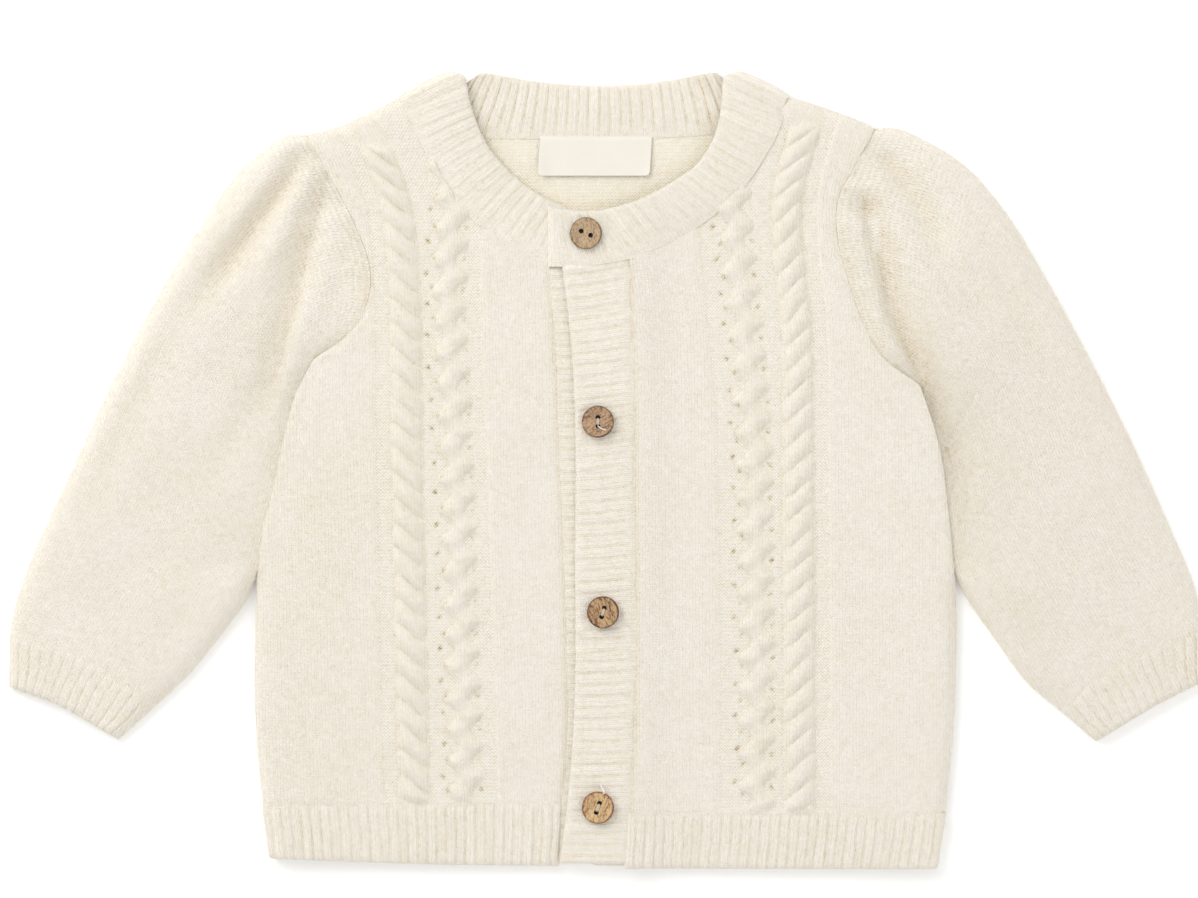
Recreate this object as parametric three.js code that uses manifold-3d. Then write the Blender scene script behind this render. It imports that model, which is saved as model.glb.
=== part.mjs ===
import * as THREE from "three";
import Module from "manifold-3d";

const wasm = await Module();
wasm.setup();

// Baby cardigan for three to six months, buttoned up and laid flat on its back. Millimetres,
// +Z up from the surface, +Y toward the collar. The wearer's right side is at -X, the left at +X.

// Cloth and clearances
const wall = 2.0;
const seamGap = 0.4;
const layerGap = 0.4;
const backTop = 2.1;
const frontBase = backTop + layerGap;
const backInset = 0.7;
const backHemShorter = 0.6;
const ribHeight = 0.8;
const ribPitch = 4.0;
const hemRibPitch = 3.7;
const bandRibPitch = 4.3;
const edgeRound = 1.6;

// How the front bulges over the air inside: highest a little in from its edges
const edgeRise = { atEdge: 4.7, roll: 2.8, rollLength: 3.5, fadeLength: 45 };
const placketLift = 2.9;
const placketLiftWidth = 18;

// Button band and buttons
const underBandMiddle = frontBase + wall / 2;
const underBandRib = 0.5;
const buttonBandMiddle = frontBase + wall + underBandRib + layerGap + wall / 2;
const buttonDiameter = 12;
const buttonThickness = 2.2;
const buttonHoleDiameter = 1.8;
const buttonHoleSpacing = 3.4;

const bandTop = { seam: 78.9, free: 75.1, underSeam: 76.4, underFree: 76.6 };
const bandBottom = -148.3;

// Hem, cuffs and label
const hemTop = { right: -126.8, left: -130.2 };
const cuffDepth = 18.5;
const label = { width: 42, height: 14.5, thickness: 0.8, x: -4.1, top: 123.4 };

// Outlines, each a row of places from one end of the edge to the other
const sideEdge = {
  right: [
    { x: -125.6, y: -150 }, { x: -129, y: -127.5 }, { x: -130.9, y: -109.5 }, { x: -132, y: -94.5 },
    { x: -132.4, y: -72 }, { x: -132, y: -57 }, { x: -131.3, y: -42 }, { x: -129.4, y: -24 },
    { x: -125.6, y: -8.6 }, { x: -121.1, y: 12 }, { x: -116.6, y: 28.1 }, { x: -109.5, y: 41.6 },
  ],
  left: [
    { x: 123.4, y: -154 }, { x: 127, y: -130.5 }, { x: 129, y: -112.5 }, { x: 130.5, y: -94.5 },
    { x: 131.3, y: -72 }, { x: 131.6, y: -57 }, { x: 129.8, y: -34.5 }, { x: 127.8, y: -14 },
    { x: 124.9, y: 6.8 }, { x: 117.4, y: 31.1 },
  ],
};
const armhole = {
  right: [
    { x: -109.5, y: 41.6 }, { x: -102, y: 46.1 }, { x: -94.1, y: 53.6 }, { x: -88.9, y: 66.8 },
    { x: -89.6, y: 78 }, { x: -96.4, y: 94.9 }, { x: -105.8, y: 112.5 }, { x: -112.9, y: 125 },
  ],
  left: [
    { x: 117.4, y: 31.1 }, { x: 104.3, y: 40.5 }, { x: 95.6, y: 55.5 }, { x: 90.4, y: 70.5 },
    { x: 86.3, y: 87.4 }, { x: 86.6, y: 100.5 }, { x: 93, y: 113.6 }, { x: 100.9, y: 127.5 },
  ],
};
const shoulder = {
  right: [
    { x: -112.9, y: 125 }, { x: -103.9, y: 127.1 }, { x: -96.4, y: 130.1 }, { x: -88.9, y: 133.5 },
    { x: -81.4, y: 137.3 }, { x: -77.2, y: 139.4 },
  ],
  left: [
    { x: 100.9, y: 127.5 }, { x: 91.1, y: 132 }, { x: 83.6, y: 134.6 }, { x: 76.1, y: 137.3 },
    { x: 67.6, y: 139.4 },
  ],
};
const neckSeam = {
  right: [
    { x: -75.8, y: 136.5 }, { x: -70.9, y: 126.4 }, { x: -65.6, y: 116.3 }, { x: -60, y: 106.5 },
    { x: -54.4, y: 98.6 }, { x: -46.9, y: 91.9 }, { x: -36.4, y: 85.1 }, { x: -21.4, y: 77.3 },
  ],
  left: [
    { x: 66, y: 136.9 }, { x: 63, y: 126.4 }, { x: 57.4, y: 116.3 }, { x: 51, y: 106.9 },
    { x: 43.9, y: 99.8 }, { x: 36, y: 93.4 }, { x: 24.4, y: 86.3 }, { x: 8.4, y: 79.6 },
  ],
};
const neckEdge = {
  right: [
    { x: -53.3, y: 143.6 }, { x: -49.1, y: 129.8 }, { x: -44.3, y: 120 }, { x: -38.6, y: 112.9 },
    { x: -31.9, y: 106.9 }, { x: -25.9, y: 102.8 }, { x: -20, y: 99.6 }, { x: -12, y: 96.6 },
  ],
  left: [
    { x: 43.9, y: 144 }, { x: 42, y: 129.8 }, { x: 38.6, y: 120.4 }, { x: 32.3, y: 112.5 },
    { x: 24.8, y: 107.3 }, { x: 16.9, y: 102.8 }, { x: 7.9, y: 99 }, { x: -3, y: 96.4 },
  ],
};
const placket = {
  right: [
    { x: -21.4, y: 77.3 }, { x: -19.6, y: 50 }, { x: -17.8, y: 13.9 }, { x: -15.4, y: -50 },
    { x: -14.2, y: -94.1 }, { x: -16.4, y: -124 }, { x: -19.4, y: -150 },
  ],
  left: [
    { x: 8.4, y: 79.6 }, { x: 9.4, y: 25.5 }, { x: 10.1, y: -34.5 }, { x: 10.5, y: -72 },
    { x: 8.6, y: -117 }, { x: 6.8, y: -152 },
  ],
};
const bandFreeEdge = [
  { x: -16.8, y: 76.4 }, { x: -13.9, y: 53.6 }, { x: -12, y: 25.5 }, { x: -11.8, y: -34.5 },
  { x: -12, y: -87 }, { x: -13.9, y: -117 }, { x: -17.6, y: -148.3 },
];
const hemEdge = {
  right: [{ x: -127, y: -146.6 }, { x: -66, y: -148.7 }, { x: -17, y: -149.4 }],
  left: [{ x: 5, y: -150.2 }, { x: 60, y: -150.4 }, { x: 124, y: -150.4 }],
};

// The back half of the neckband, from the wearer's right to the left
const backNeckSeam = [
  { x: -73.5, y: 132.4 }, { x: -60.8, y: 127.5 }, { x: -48.4, y: 124.7 }, { x: -32.6, y: 124.1 },
  { x: -15.8, y: 124.1 }, { x: 0, y: 124.4 }, { x: 16.1, y: 124.4 }, { x: 31.1, y: 125.1 },
  { x: 43.1, y: 126.4 }, { x: 54.4, y: 129 }, { x: 63.6, y: 133.2 },
];
const backNeckEdge = [
  { x: -53.6, y: 147.2 }, { x: -47.6, y: 148.2 }, { x: -40.1, y: 147.4 }, { x: -28.9, y: 145.5 },
  { x: -14.6, y: 144 }, { x: 0, y: 143.6 }, { x: 14.3, y: 144.4 }, { x: 27.4, y: 146.2 },
  { x: 35.6, y: 147.9 }, { x: 41.6, y: 148.2 }, { x: 45, y: 147.4 },
];

// Cable columns: where the middle of each runs, from the shoulder or neck to the hem
const ropeMiddle = {
  right: [
    { x: -94, y: 136 }, { x: -86.3, y: 119 }, { x: -79.5, y: 100.5 }, { x: -76.9, y: 81.8 },
    { x: -75.8, y: 63 }, { x: -75, y: 6.8 }, { x: -73.1, y: -87 }, { x: -71.8, y: -140 },
  ],
  left: [
    { x: 77, y: 136 }, { x: 70.9, y: 116 }, { x: 67.5, y: 100.5 }, { x: 67.7, y: 85 },
    { x: 69.2, y: 70.5 }, { x: 71, y: 55 }, { x: 71.8, y: 6.8 }, { x: 72.4, y: -140 },
  ],
};
const waveMiddle = {
  right: [
    { x: -60.4, y: 112 }, { x: -58.1, y: 96 }, { x: -59.2, y: 82 }, { x: -59.4, y: 63 },
    { x: -57, y: 6.8 }, { x: -54, y: -87 }, { x: -52.6, y: -140 },
  ],
  left: [
    { x: 46.4, y: 112 }, { x: 48, y: 90 }, { x: 50.6, y: 63 }, { x: 54.6, y: 20 },
    { x: 56.1, y: -50 }, { x: 56.4, y: -140 },
  ],
};
const rope = { halfWidth: 5.6, repeat: 9.0, height: 2.2, slant: 0.75, rows: 3 };
const wave = { halfWidth: 4.0, repeat: 11.8, height: 1.9, swing: 2.7, rows: 4 };
const purlDepth = 0.5;
const purlHalfWidth = { rope: 8.6, wave: 8.8 };

// The columns of a front run past it at both ends and are then cut to its outline
const columnStart = -160;
const columnLength = 310;
const overhang = 6;
const cutBelow = -1;
const cutAbove = 30;
const plainSpacing = { below: 21, above: 7, change: 92 };

// Sleeve outlines below the armhole
const sleeveOuter = {
  right: [
    { x: -113.3, y: 125.3 }, { x: -118.9, y: 125.2 }, { x: -126.4, y: 121.5 }, { x: -133.9, y: 115.5 },
    { x: -141.4, y: 107.3 }, { x: -156.4, y: 85.1 }, { x: -171.4, y: 59.6 }, { x: -186.4, y: 30.8 },
    { x: -201.4, y: -1.5 }, { x: -216.4, y: -34.5 }, { x: -222.9, y: -54 }, { x: -224.3, y: -63 },
  ],
  left: [
    { x: 101.3, y: 127.8 }, { x: 107.5, y: 127.8 }, { x: 121.1, y: 122.3 }, { x: 136.1, y: 112.1 },
    { x: 151.1, y: 94.1 }, { x: 166.1, y: 69 }, { x: 181.1, y: 41.6 }, { x: 196.1, y: 12 },
    { x: 211.1, y: -21.4 }, { x: 220.5, y: -43.9 }, { x: 224.4, y: -60 },
  ],
};
const sleeveInner = {
  right: [
    { x: -110, y: 41 }, { x: -117.2, y: 28.4 }, { x: -121.7, y: 12.2 }, { x: -126.2, y: -8.4 },
    { x: -130, y: -23.8 }, { x: -132.4, y: -40.5 }, { x: -135.6, y: -49.9 }, { x: -141.4, y: -58.1 },
    { x: -156.4, y: -76.9 }, { x: -170.6, y: -90.4 },
  ],
  left: [
    { x: 118, y: 30.6 }, { x: 125.5, y: 6.8 }, { x: 128.5, y: -14 }, { x: 130.6, y: -34.5 },
    { x: 133.9, y: -46.6 }, { x: 143.6, y: -61.1 }, { x: 158.6, y: -81.4 }, { x: 170.3, y: -91 },
  ],
};
const cuffSeam = {
  right: [
    { x: -224.3, y: -63 }, { x: -209.6, y: -66.2 }, { x: -193.9, y: -72.4 }, { x: -180, y: -81 },
    { x: -170.6, y: -90.4 },
  ],
  left: [
    { x: 224.4, y: -60 }, { x: 208.5, y: -65.8 }, { x: 192, y: -74.4 }, { x: 181, y: -80.8 },
    { x: 170.3, y: -91 },
  ],
};
const cuffEdge = {
  right: [{ x: -224.7, y: -82.4 }, { x: -207, y: -88.6 }, { x: -183.6, y: -102 }],
  left: [{ x: 224.7, y: -79.8 }, { x: 206, y: -89.4 }, { x: 183.8, y: -102.8 }],
};
const sleeveCrown = [
  { along: 0, height: 7.2 }, { along: 0.07, height: 9.6 }, { along: 0.2, height: 10.6 },
  { along: 0.45, height: 8.8 }, { along: 0.75, height: 7.6 }, { along: 1, height: 6.4 },
];
const tubeEdge = { height: 2.2, roll: 2.2, lowest: 4.9 };
const sleeveLength = 190;
const sleeveRings = 14;
const sleevePoints = 21;
const cuffRibs = 14;
const cuffCrown = { atSeam: 6.2, atEdge: 5.4 };

// Pleats at the sleeve heads: soft troughs (depth above 0) and ridges (below 0)
const pleats = {
  right: [
    { depth: 4.2, width: 4.6, line: [[-112, 120], [-121.9, 108.8], [-133.5, 88], [-145, 70]] },
    { depth: 3.4, width: 4.2, line: [[-105, 112], [-109.5, 91.9], [-112.5, 80.6], [-116.6, 61.5]] },
    { depth: -1.2, width: 4.6, line: [[-109.5, 112.5], [-117.4, 98.3], [-127.1, 76.5], [-133, 58]] },
    { depth: 0.9, width: 6, line: [[-121, 40], [-140, 12], [-160, -22]] },
    { depth: 0.7, width: 5, line: [[-150, 75], [-168, 40], [-182, 8]] },
  ],
  left: [
    { depth: 3.6, width: 4.4, line: [[101, 119], [111, 109.5], [117.8, 100.1], [122, 88]] },
    { depth: 5.0, width: 5.2, line: [[96, 105.8], [100.1, 84], [105.4, 62.6], [113.6, 43.5], [123, 23]] },
    { depth: -1.4, width: 4.6, line: [[99, 112], [106, 96], [112, 78], [119, 58]] },
    { depth: 0.9, width: 6, line: [[133, 30], [148, 2], [163, -30]] },
    { depth: 0.8, width: 5, line: [[140, 84], [158, 52], [172, 22]] },
  ],
};

// Colours
const cream = { color: 0xf4ecda, roughness: 0.95, metalness: 0 };
const satin = { color: 0xf3ece0, roughness: 0.45, metalness: 0 };
const shell = { color: 0x9a7350, roughness: 0.5, metalness: 0 };

// Curves through the rows of a table
const spline = (rows) => new THREE.SplineCurve(rows.map((row) => new THREE.Vector2(row.x, row.y)));
const trace = (rows, steps) => spline(rows).getSpacedPoints(steps);
const mix = (a, b, t) => a + (b - a) * t;
const smooth = (t) => THREE.MathUtils.smoothstep(t, 0, 1);

// The value of one column of a table where another column has a given value
function lookUp(rows, key, at, column) {
  const rising = rows[rows.length - 1][key] > rows[0][key];
  const sorted = rising ? rows : [...rows].reverse();
  let i = 0;
  while (i < sorted.length - 2 && at > sorted[i + 1][key]) {
    i += 1;
  }
  const [from, to] = [sorted[i], sorted[i + 1]];
  const slope = (a, b) => (b[column] - a[column]) / (b[key] - a[key]);
  const here = slope(from, to);
  const before = i > 0 ? (slope(sorted[i - 1], from) + here) / 2 : here;
  const after = i < sorted.length - 2 ? (slope(to, sorted[i + 2]) + here) / 2 : here;
  const span = to[key] - from[key];
  const t = (at - from[key]) / span;
  if (t < 0 || t > 1) {
    return t < 0 ? from[column] + here * (at - from[key]) : to[column] + here * (at - to[key]);
  }
  const rise = (2 * t ** 3 - 3 * t ** 2 + 1) * from[column] + (3 * t ** 2 - 2 * t ** 3) * to[column];
  return rise + span * ((t ** 3 - 2 * t ** 2 + t) * before + (t ** 3 - t ** 2) * after);
}

// A closed skin of points and triangles
class Skin {
  constructor() {
    this.places = [];
    this.faces = [];
  }

  point(x, y, z, row = 0) {
    this.places.push(x, y, z);
    return { id: this.places.length / 3 - 1, x, y, z, row };
  }

  // Joins two rows of points, which may be of different lengths, in step with a key such as y
  zip(first, second, key, flip = false) {
    let i = 0;
    let j = 0;
    while (i < first.length - 1 || j < second.length - 1) {
      const firstMoves = j === second.length - 1
        || (i < first.length - 1 && first[i + 1][key] <= second[j + 1][key]);
      const next = firstMoves ? first[i + 1] : second[j + 1];
      const face = [first[i].id, next.id, second[j].id];
      this.faces.push(...(flip ? face.reverse() : face));
      i += firstMoves ? 1 : 0;
      j += firstMoves ? 0 : 1;
    }
  }

  // Joins two closed rings of the same number of points
  band(ring, next, flip = false) {
    ring.forEach((a, k) => {
      const n = (k + 1) % ring.length;
      const faces = [a.id, ring[n].id, next[n].id, a.id, next[n].id, next[k].id];
      this.faces.push(...(flip ? faces.reverse() : faces));
    });
  }

  // Closes a ring that bulges everywhere outward
  cap(ring, flip = false) {
    for (let k = 1; k < ring.length - 1; k += 1) {
      const face = [ring[0].id, ring[k + 1].id, ring[k].id];
      this.faces.push(...(flip ? face.reverse() : face));
    }
  }

  // Six times the volume inside, which is negative where the faces point inward
  volume() {
    const corner = (id) => new THREE.Vector3(...this.places.slice(3 * id, 3 * id + 3));
    let sum = 0;
    for (let k = 0; k < this.faces.length; k += 3) {
      const [a, b, c] = this.faces.slice(k, k + 3).map(corner);
      sum += a.dot(b.cross(c));
    }
    return sum;
  }

  geometry() {
    if (this.volume() < 0) {
      this.faces.reverse();
    }
    const geometry = new THREE.BufferGeometry();
    geometry.setAttribute("position", new THREE.Float32BufferAttribute(this.places, 3));
    geometry.setIndex(this.faces);
    return geometry;
  }
}

// Solid cuts
function toSolid(geometry) {
  return new wasm.Manifold(new wasm.Mesh({
    numProp: 3,
    vertProperties: new Float32Array(geometry.getAttribute("position").array),
    triVerts: new Uint32Array(geometry.getIndex().array),
  }));
}

function toGeometry(solid) {
  const mesh = solid.getMesh();
  const geometry = new THREE.BufferGeometry();
  geometry.setAttribute("position", new THREE.Float32BufferAttribute(mesh.vertProperties, 3));
  geometry.setIndex(Array.from(mesh.triVerts));
  return geometry;
}

// An outline moved inward by a distance
function shrink(outline, distance) {
  const inward = THREE.ShapeUtils.isClockWise(outline) ? -1 : 1;
  return outline.map((p, k) => {
    const before = outline.at(k - 1);
    const after = outline[(k + 1) % outline.length];
    const along = new THREE.Vector2().subVectors(after, before).normalize();
    return new THREE.Vector2(p.x - along.y * distance * inward, p.y + along.x * distance * inward);
  });
}

// An upright wall round an outline, to cut a panel out with
function prism(outline, bottom, top) {
  const skin = new Skin();
  const clockwise = THREE.ShapeUtils.isClockWise(outline);
  const turned = clockwise ? [...outline].reverse() : outline;
  const low = turned.map((p) => skin.point(p.x, p.y, bottom));
  const high = turned.map((p) => skin.point(p.x, p.y, top));
  skin.band(low, high);
  THREE.ShapeUtils.triangulateShape(turned, []).forEach(([a, b, c]) => {
    skin.faces.push(high[a].id, high[b].id, high[c].id, low[c].id, low[b].id, low[a].id);
  });
  return toSolid(skin.geometry());
}

// The side edge, carried on past the underarm so that it clears the armhole
const sideLine = {
  right: [...sideEdge.right, { x: -113, y: 60 }, { x: -120, y: 140 }],
  left: [...sideEdge.left, { x: 116, y: 60 }, { x: 110, y: 140 }],
};

// Heights of the fronts over the surface
function frontHeight(side, x, y) {
  const fromSide = Math.abs(x - lookUp(sideLine[side], "y", y, "x"));
  const fromShoulder = 0.9 * (lookUp(shoulder[side], "x", x, "y") - y);
  const inset = Math.max(0, Math.min(fromSide, fromShoulder));
  const rise = edgeRise.roll * (1 - Math.exp(-inset / edgeRise.rollLength));
  let height = edgeRise.atEdge + rise * Math.exp(-inset / edgeRise.fadeLength);
  if (side === "left") {
    const fromPlacket = x - lookUp(placket.left, "y", y, "x");
    height += placketLift * smooth(1 - fromPlacket / placketLiftWidth);
  }
  return height;
}

// Rows of a plain column: wide apart below, closer where the shoulder and neck turn
const plainRows = [columnStart];
while (plainRows.at(-1) < columnStart + columnLength) {
  const y = plainRows.at(-1);
  plainRows.push(y + (y < plainSpacing.change ? plainSpacing.below : plainSpacing.above));
}

// A twisted rope of two strands; the rows of points follow the slanting grooves between lobes
function ropeColumns(skin, side) {
  const lean = side === "right" ? -rope.slant : rope.slant;
  const across = [-1, -0.45, 0.45, 1];
  const count = Math.ceil((columnLength / rope.repeat) * rope.rows);
  return across.map((p) => {
    const column = [];
    for (let k = 0; k <= count; k += 1) {
      const y = columnStart + (k * rope.repeat) / rope.rows + lean * p * rope.halfWidth;
      const x = lookUp(ropeMiddle[side], "y", y, "x") + p * rope.halfWidth;
      const lobe = 0.25 + 0.75 * Math.sin((Math.PI * (k % rope.rows)) / rope.rows) ** 0.6;
      const relief = rope.height * Math.sqrt(1 - p * p) * lobe - purlDepth;
      column.push(skin.point(x, y, frontHeight(side, x, y) + relief, k));
    }
    return column;
  });
}

// A single cord that swings from side to side
function waveColumns(skin, side) {
  const across = [-1, -0.5, 0.5, 1];
  const swings = [0, 1, 0, -1];
  const count = Math.ceil((columnLength / wave.repeat) * wave.rows);
  return across.map((p) => {
    const column = [];
    for (let k = 0; k <= count; k += 1) {
      const y = columnStart + (k * wave.repeat) / wave.rows;
      const swing = wave.swing * swings[k % wave.rows];
      const x = lookUp(waveMiddle[side], "y", y, "x") + p * wave.halfWidth + swing;
      const crest = k % 2 === 0 ? 0.7 : 1;
      const relief = wave.height * Math.sqrt(1 - p * p) * crest - purlDepth;
      column.push(skin.point(x, y, frontHeight(side, x, y) + relief, k));
    }
    return column;
  });
}

// One front: columns of points from the side edge to the button band, cut out along its outline
function front(side) {
  const skin = new Skin();
  const out = side === "right" ? -1 : 1;
  const sideX = (y) => lookUp(sideLine[side], "y", y, "x");
  const placketX = (y) => lookUp(placket[side], "y", y, "x");
  const ropeX = (y) => lookUp(ropeMiddle[side], "y", y, "x") + out * purlHalfWidth.rope;
  const waveX = (y) => lookUp(waveMiddle[side], "y", y, "x") - out * purlHalfWidth.wave;
  const between = (y) => (ropeX(y) + waveX(y)) / 2 + out * (purlHalfWidth.wave - purlHalfWidth.rope);
  const plain = (xAt, relief = 0) => plainRows.map((y) => {
    const x = xAt(y);
    return skin.point(x, y, frontHeight(side, x, y) + relief, y);
  });
  const inside = (xAt) => plainRows.map((y) => {
    const x = xAt(y);
    return skin.point(x, y, Math.max(frontBase, frontHeight(side, x, y) - wall), y);
  });
  const pastSide = (y) => sideX(y) + out * overhang;
  const pastPlacket = (y) => placketX(y) - out * overhang;
  const fromSide = (inset) => (y) => sideX(y) - out * inset;
  const towardRope = (part) => (y) => mix(sideX(y) - out * overhang, ropeX(y), part);
  const towardPlacket = (part) => (y) => mix(waveX(y), placketX(y), part);
  const top = [pastSide, fromSide(0), fromSide(2.5), towardRope(0), towardRope(0.35), towardRope(0.97)]
    .map((xAt) => plain(xAt));
  top.push(plain(ropeX, -purlDepth));
  const ropeAt = top.length;
  const inOrder = (columns) => (side === "right" ? columns : columns.reverse());
  top.push(...inOrder(ropeColumns(skin, side)));
  top.push(plain(between, -purlDepth));
  const waveAt = top.length;
  top.push(...inOrder(waveColumns(skin, side)));
  top.push(plain(waveX, -purlDepth));
  [0.04, 0.5, 0.8, 1].forEach((part) => top.push(plain(towardPlacket(part))));
  top.push(plain(pastPlacket));
  const bottom = [pastSide, fromSide(3), fromSide(9), fromSide(30)].map(inside);
  [0, 0.5, 0.8, 1].forEach((part) => bottom.push(inside(towardPlacket(part))));
  bottom.push(inside(pastPlacket));
  const flip = side === "right";
  const cableStrips = 3;
  const inStep = (k) => [ropeAt, waveAt].some((first) => k >= first && k < first + cableStrips);
  for (let k = 0; k < top.length - 1; k += 1) {
    skin.zip(top[k], top[k + 1], inStep(k) ? "row" : "y", flip);
  }
  for (let k = 0; k < bottom.length - 1; k += 1) {
    skin.zip(bottom[k], bottom[k + 1], "y", !flip);
  }
  skin.zip(top[0], bottom[0], "y", !flip);
  skin.zip(top[top.length - 1], bottom[bottom.length - 1], "y", flip);
  const along = (columns, index) => columns.map((column) => {
    const p = column.at(index);
    return { ...p, across: -out * p.x };
  });
  skin.zip(along(top, 0), along(bottom, 0), "across", flip);
  skin.zip(along(top, -1), along(bottom, -1), "across", !flip);
  const low = hemTop[side] + seamGap / 2;
  const outline = [
    ...trace(sideEdge[side], 24).filter((p) => p.y > low + 1),
    ...trace(armhole[side], 16).slice(1),
    ...trace(shoulder[side], 8).slice(1),
    ...trace(neckSeam[side], 20),
    ...trace(placket[side], 14).slice(1).filter((p) => p.y > low + 1),
  ];
  outline.push(new THREE.Vector2(placketX(low), low), new THREE.Vector2(sideX(low), low));
  return toGeometry(toSolid(skin.geometry()).intersect(prism(outline, cutBelow, cutAbove)));
}

// The back: a plain wall on the surface under both fronts
function back() {
  const rightLow = hemTop.right + seamGap / 2;
  const leftLow = hemTop.left + seamGap / 2;
  const neck = trace(backNeckSeam, 16).map((p) => new THREE.Vector2(p.x, p.y - seamGap));
  const upSide = (rows, low) => trace(rows, 20).filter((p) => p.y > low + 1);
  const outline = [
    new THREE.Vector2(lookUp(sideEdge.right, "y", rightLow, "x"), rightLow),
    ...upSide(sideEdge.right, rightLow),
    ...trace(armhole.right, 16).slice(1),
    ...trace(shoulder.right, 6).slice(1),
    ...neck,
    ...trace(shoulder.left, 6).reverse().slice(0, -1),
    ...trace(armhole.left, 16).reverse(),
    ...upSide(sideEdge.left, leftLow).reverse().slice(1),
    new THREE.Vector2(lookUp(sideEdge.left, "y", leftLow, "x"), leftLow),
  ];
  return toGeometry(prism(shrink(outline, backInset), 0, backTop));
}

// A ribbed strip between two edges in space. Ribs rise from whichever face looks up, over a plain
// wall on the other side, and nothing reaches below the surface.
function ribbedStrip({ seam, free, pitch, height = ribHeight, steps = 600 }) {
  const seamCurve = new THREE.CatmullRomCurve3(seam);
  const freeCurve = new THREE.CatmullRomCurve3(free);
  const middle = (t) => seamCurve.getPoint(t).add(freeCurve.getPoint(t)).multiplyScalar(0.5);
  const reached = [0];
  for (let k = 1; k <= steps; k += 1) {
    reached.push(reached[k - 1] + middle(k / steps).distanceTo(middle((k - 1) / steps)));
  }
  const length = reached[steps];
  const at = (distance) => {
    let k = 1;
    while (k < steps && reached[k] < distance) {
      k += 1;
    }
    return (k - 1 + (distance - reached[k - 1]) / (reached[k] - reached[k - 1])) / steps;
  };
  const ribs = Math.round(length / pitch);
  const stations = [...Array(2 * ribs + 1).keys()].map((k) => k / (2 * ribs));
  const skin = new Skin();
  const rings = stations.map((share, k) => {
    const t = THREE.MathUtils.clamp(at(share * length), 0, 1);
    const from = seamCurve.getPoint(t);
    const to = freeCurve.getPoint(t);
    const ahead = middle(Math.min(1, t + 0.002)).sub(middle(Math.max(0, t - 0.002)));
    const across = to.clone().sub(from);
    const width = across.length();
    const up = across.clone().cross(ahead).normalize();
    const crest = k % 2 === 0 ? 0 : height;
    const outward = up.z > -0.3;
    const outer = wall / 2 + (outward ? crest : 0);
    const inner = wall / 2 + (outward ? 0 : crest);
    const place = (part, lift) => {
      const p = from.clone().addScaledVector(across, part).addScaledVector(up, lift);
      return skin.point(p.x, p.y, Math.max(p.z, 0));
    };
    const start = seamGap / width;
    const rounded = 1 - edgeRound / width;
    const edge = wall / 2 + crest * 0.2 - 0.35;
    return [
      place(start, outer),
      place(rounded, outer),
      place(1, outward ? edge : wall / 2),
      place(1, -(outward ? wall / 2 : edge)),
      place(rounded, -inner),
      place(start, -inner),
    ];
  });
  for (let k = 0; k < rings.length - 1; k += 1) {
    skin.band(rings[k], rings[k + 1]);
  }
  skin.cap(rings[0]);
  skin.cap(rings[rings.length - 1], true);
  return skin.geometry();
}

const inSpace = (p, z) => new THREE.Vector3(p.x, p.y, z);

// The neckband runs down both fronts and, turned over at the shoulders, across the back
function neckband() {
  const backMiddle = wall / 2;
  const shoulderMiddle = 5.6;
  const fold = (shoulderMiddle - backMiddle) / 2;
  const frontMiddle = {
    right: [5.5, 5.3, 5.0, 4.7, 4.5, 4.2, 3.9, underBandMiddle],
    left: [5.5, 5.5, 5.5, 5.6, 5.8, 6.2, 6.6, buttonBandMiddle + 0.3],
  };
  const turn = (seamAt, freeAt, out) => [-1, 0, 45, 90, 135, 180, 181].map((degrees) => {
    const angle = THREE.MathUtils.degToRad(THREE.MathUtils.clamp(degrees, 0, 180));
    const shift = fold * Math.sin(angle) - (degrees < 0 || degrees > 180 ? 3 : 0);
    const z = backMiddle + fold * (1 + Math.cos(angle));
    const moved = (p) => new THREE.Vector3(p.x + out.x * shift, p.y + out.y * shift, z);
    return { seam: moved(seamAt), free: moved(freeAt) };
  });
  const rightTurn = turn({ x: -75.3, y: 137.3 }, { x: -54.2, y: 147.5 }, { x: -0.42, y: 0.9 });
  const leftTurn = turn({ x: 65.4, y: 137.7 }, { x: 44.9, y: 147.3 }, { x: 0.39, y: 0.92 });
  const downFront = (side) => {
    const seam = trace(neckSeam[side], 14);
    const free = trace(neckEdge[side], 14);
    const heights = frontMiddle[side].map((z, k) => new THREE.Vector2(k / 7, z));
    return seam.map((p, k) => {
      const z = lookUp(heights, "x", k / 14, "y");
      return { seam: inSpace(p, z), free: inSpace(free[k], z) };
    }).slice(1);
  };
  const underEnd = { seam: [1.6, 77.3], free: [2.4, 95.5] };
  const overEnd = { seam: [-22.1, 75.6], free: [-22.1, 97.9] };
  const overMiddle = { seam: [-6.6, 76.3], free: [-12.4, 96.4] };
  const rows = [
    { seam: new THREE.Vector3(...underEnd.seam, underBandMiddle),
      free: new THREE.Vector3(...underEnd.free, underBandMiddle) },
  ];
  rows.push(...downFront("right").reverse());
  rows.push(...rightTurn);
  backNeckSeam.slice(1, -1).forEach((p, k) => {
    rows.push({ seam: inSpace(p, backMiddle), free: inSpace(backNeckEdge[k + 1], backMiddle) });
  });
  rows.push(...leftTurn.reverse());
  rows.push(...downFront("left"));
  [overMiddle, overEnd].forEach((end) => {
    rows.push({
      seam: new THREE.Vector3(...end.seam, buttonBandMiddle + 0.3),
      free: new THREE.Vector3(...end.free, buttonBandMiddle + 0.3),
    });
  });
  return ribbedStrip({
    seam: rows.map((row) => row.seam),
    free: rows.map((row) => row.free),
    pitch: ribPitch,
  });
}

// Points down one edge of a band
function downEdge(rows, top, bottom, shift, z) {
  return [...Array(9).keys()].map((k) => {
    const y = mix(top, bottom, k / 8);
    return new THREE.Vector3(lookUp(rows, "y", y, "x") + shift, y, z);
  });
}

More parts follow.
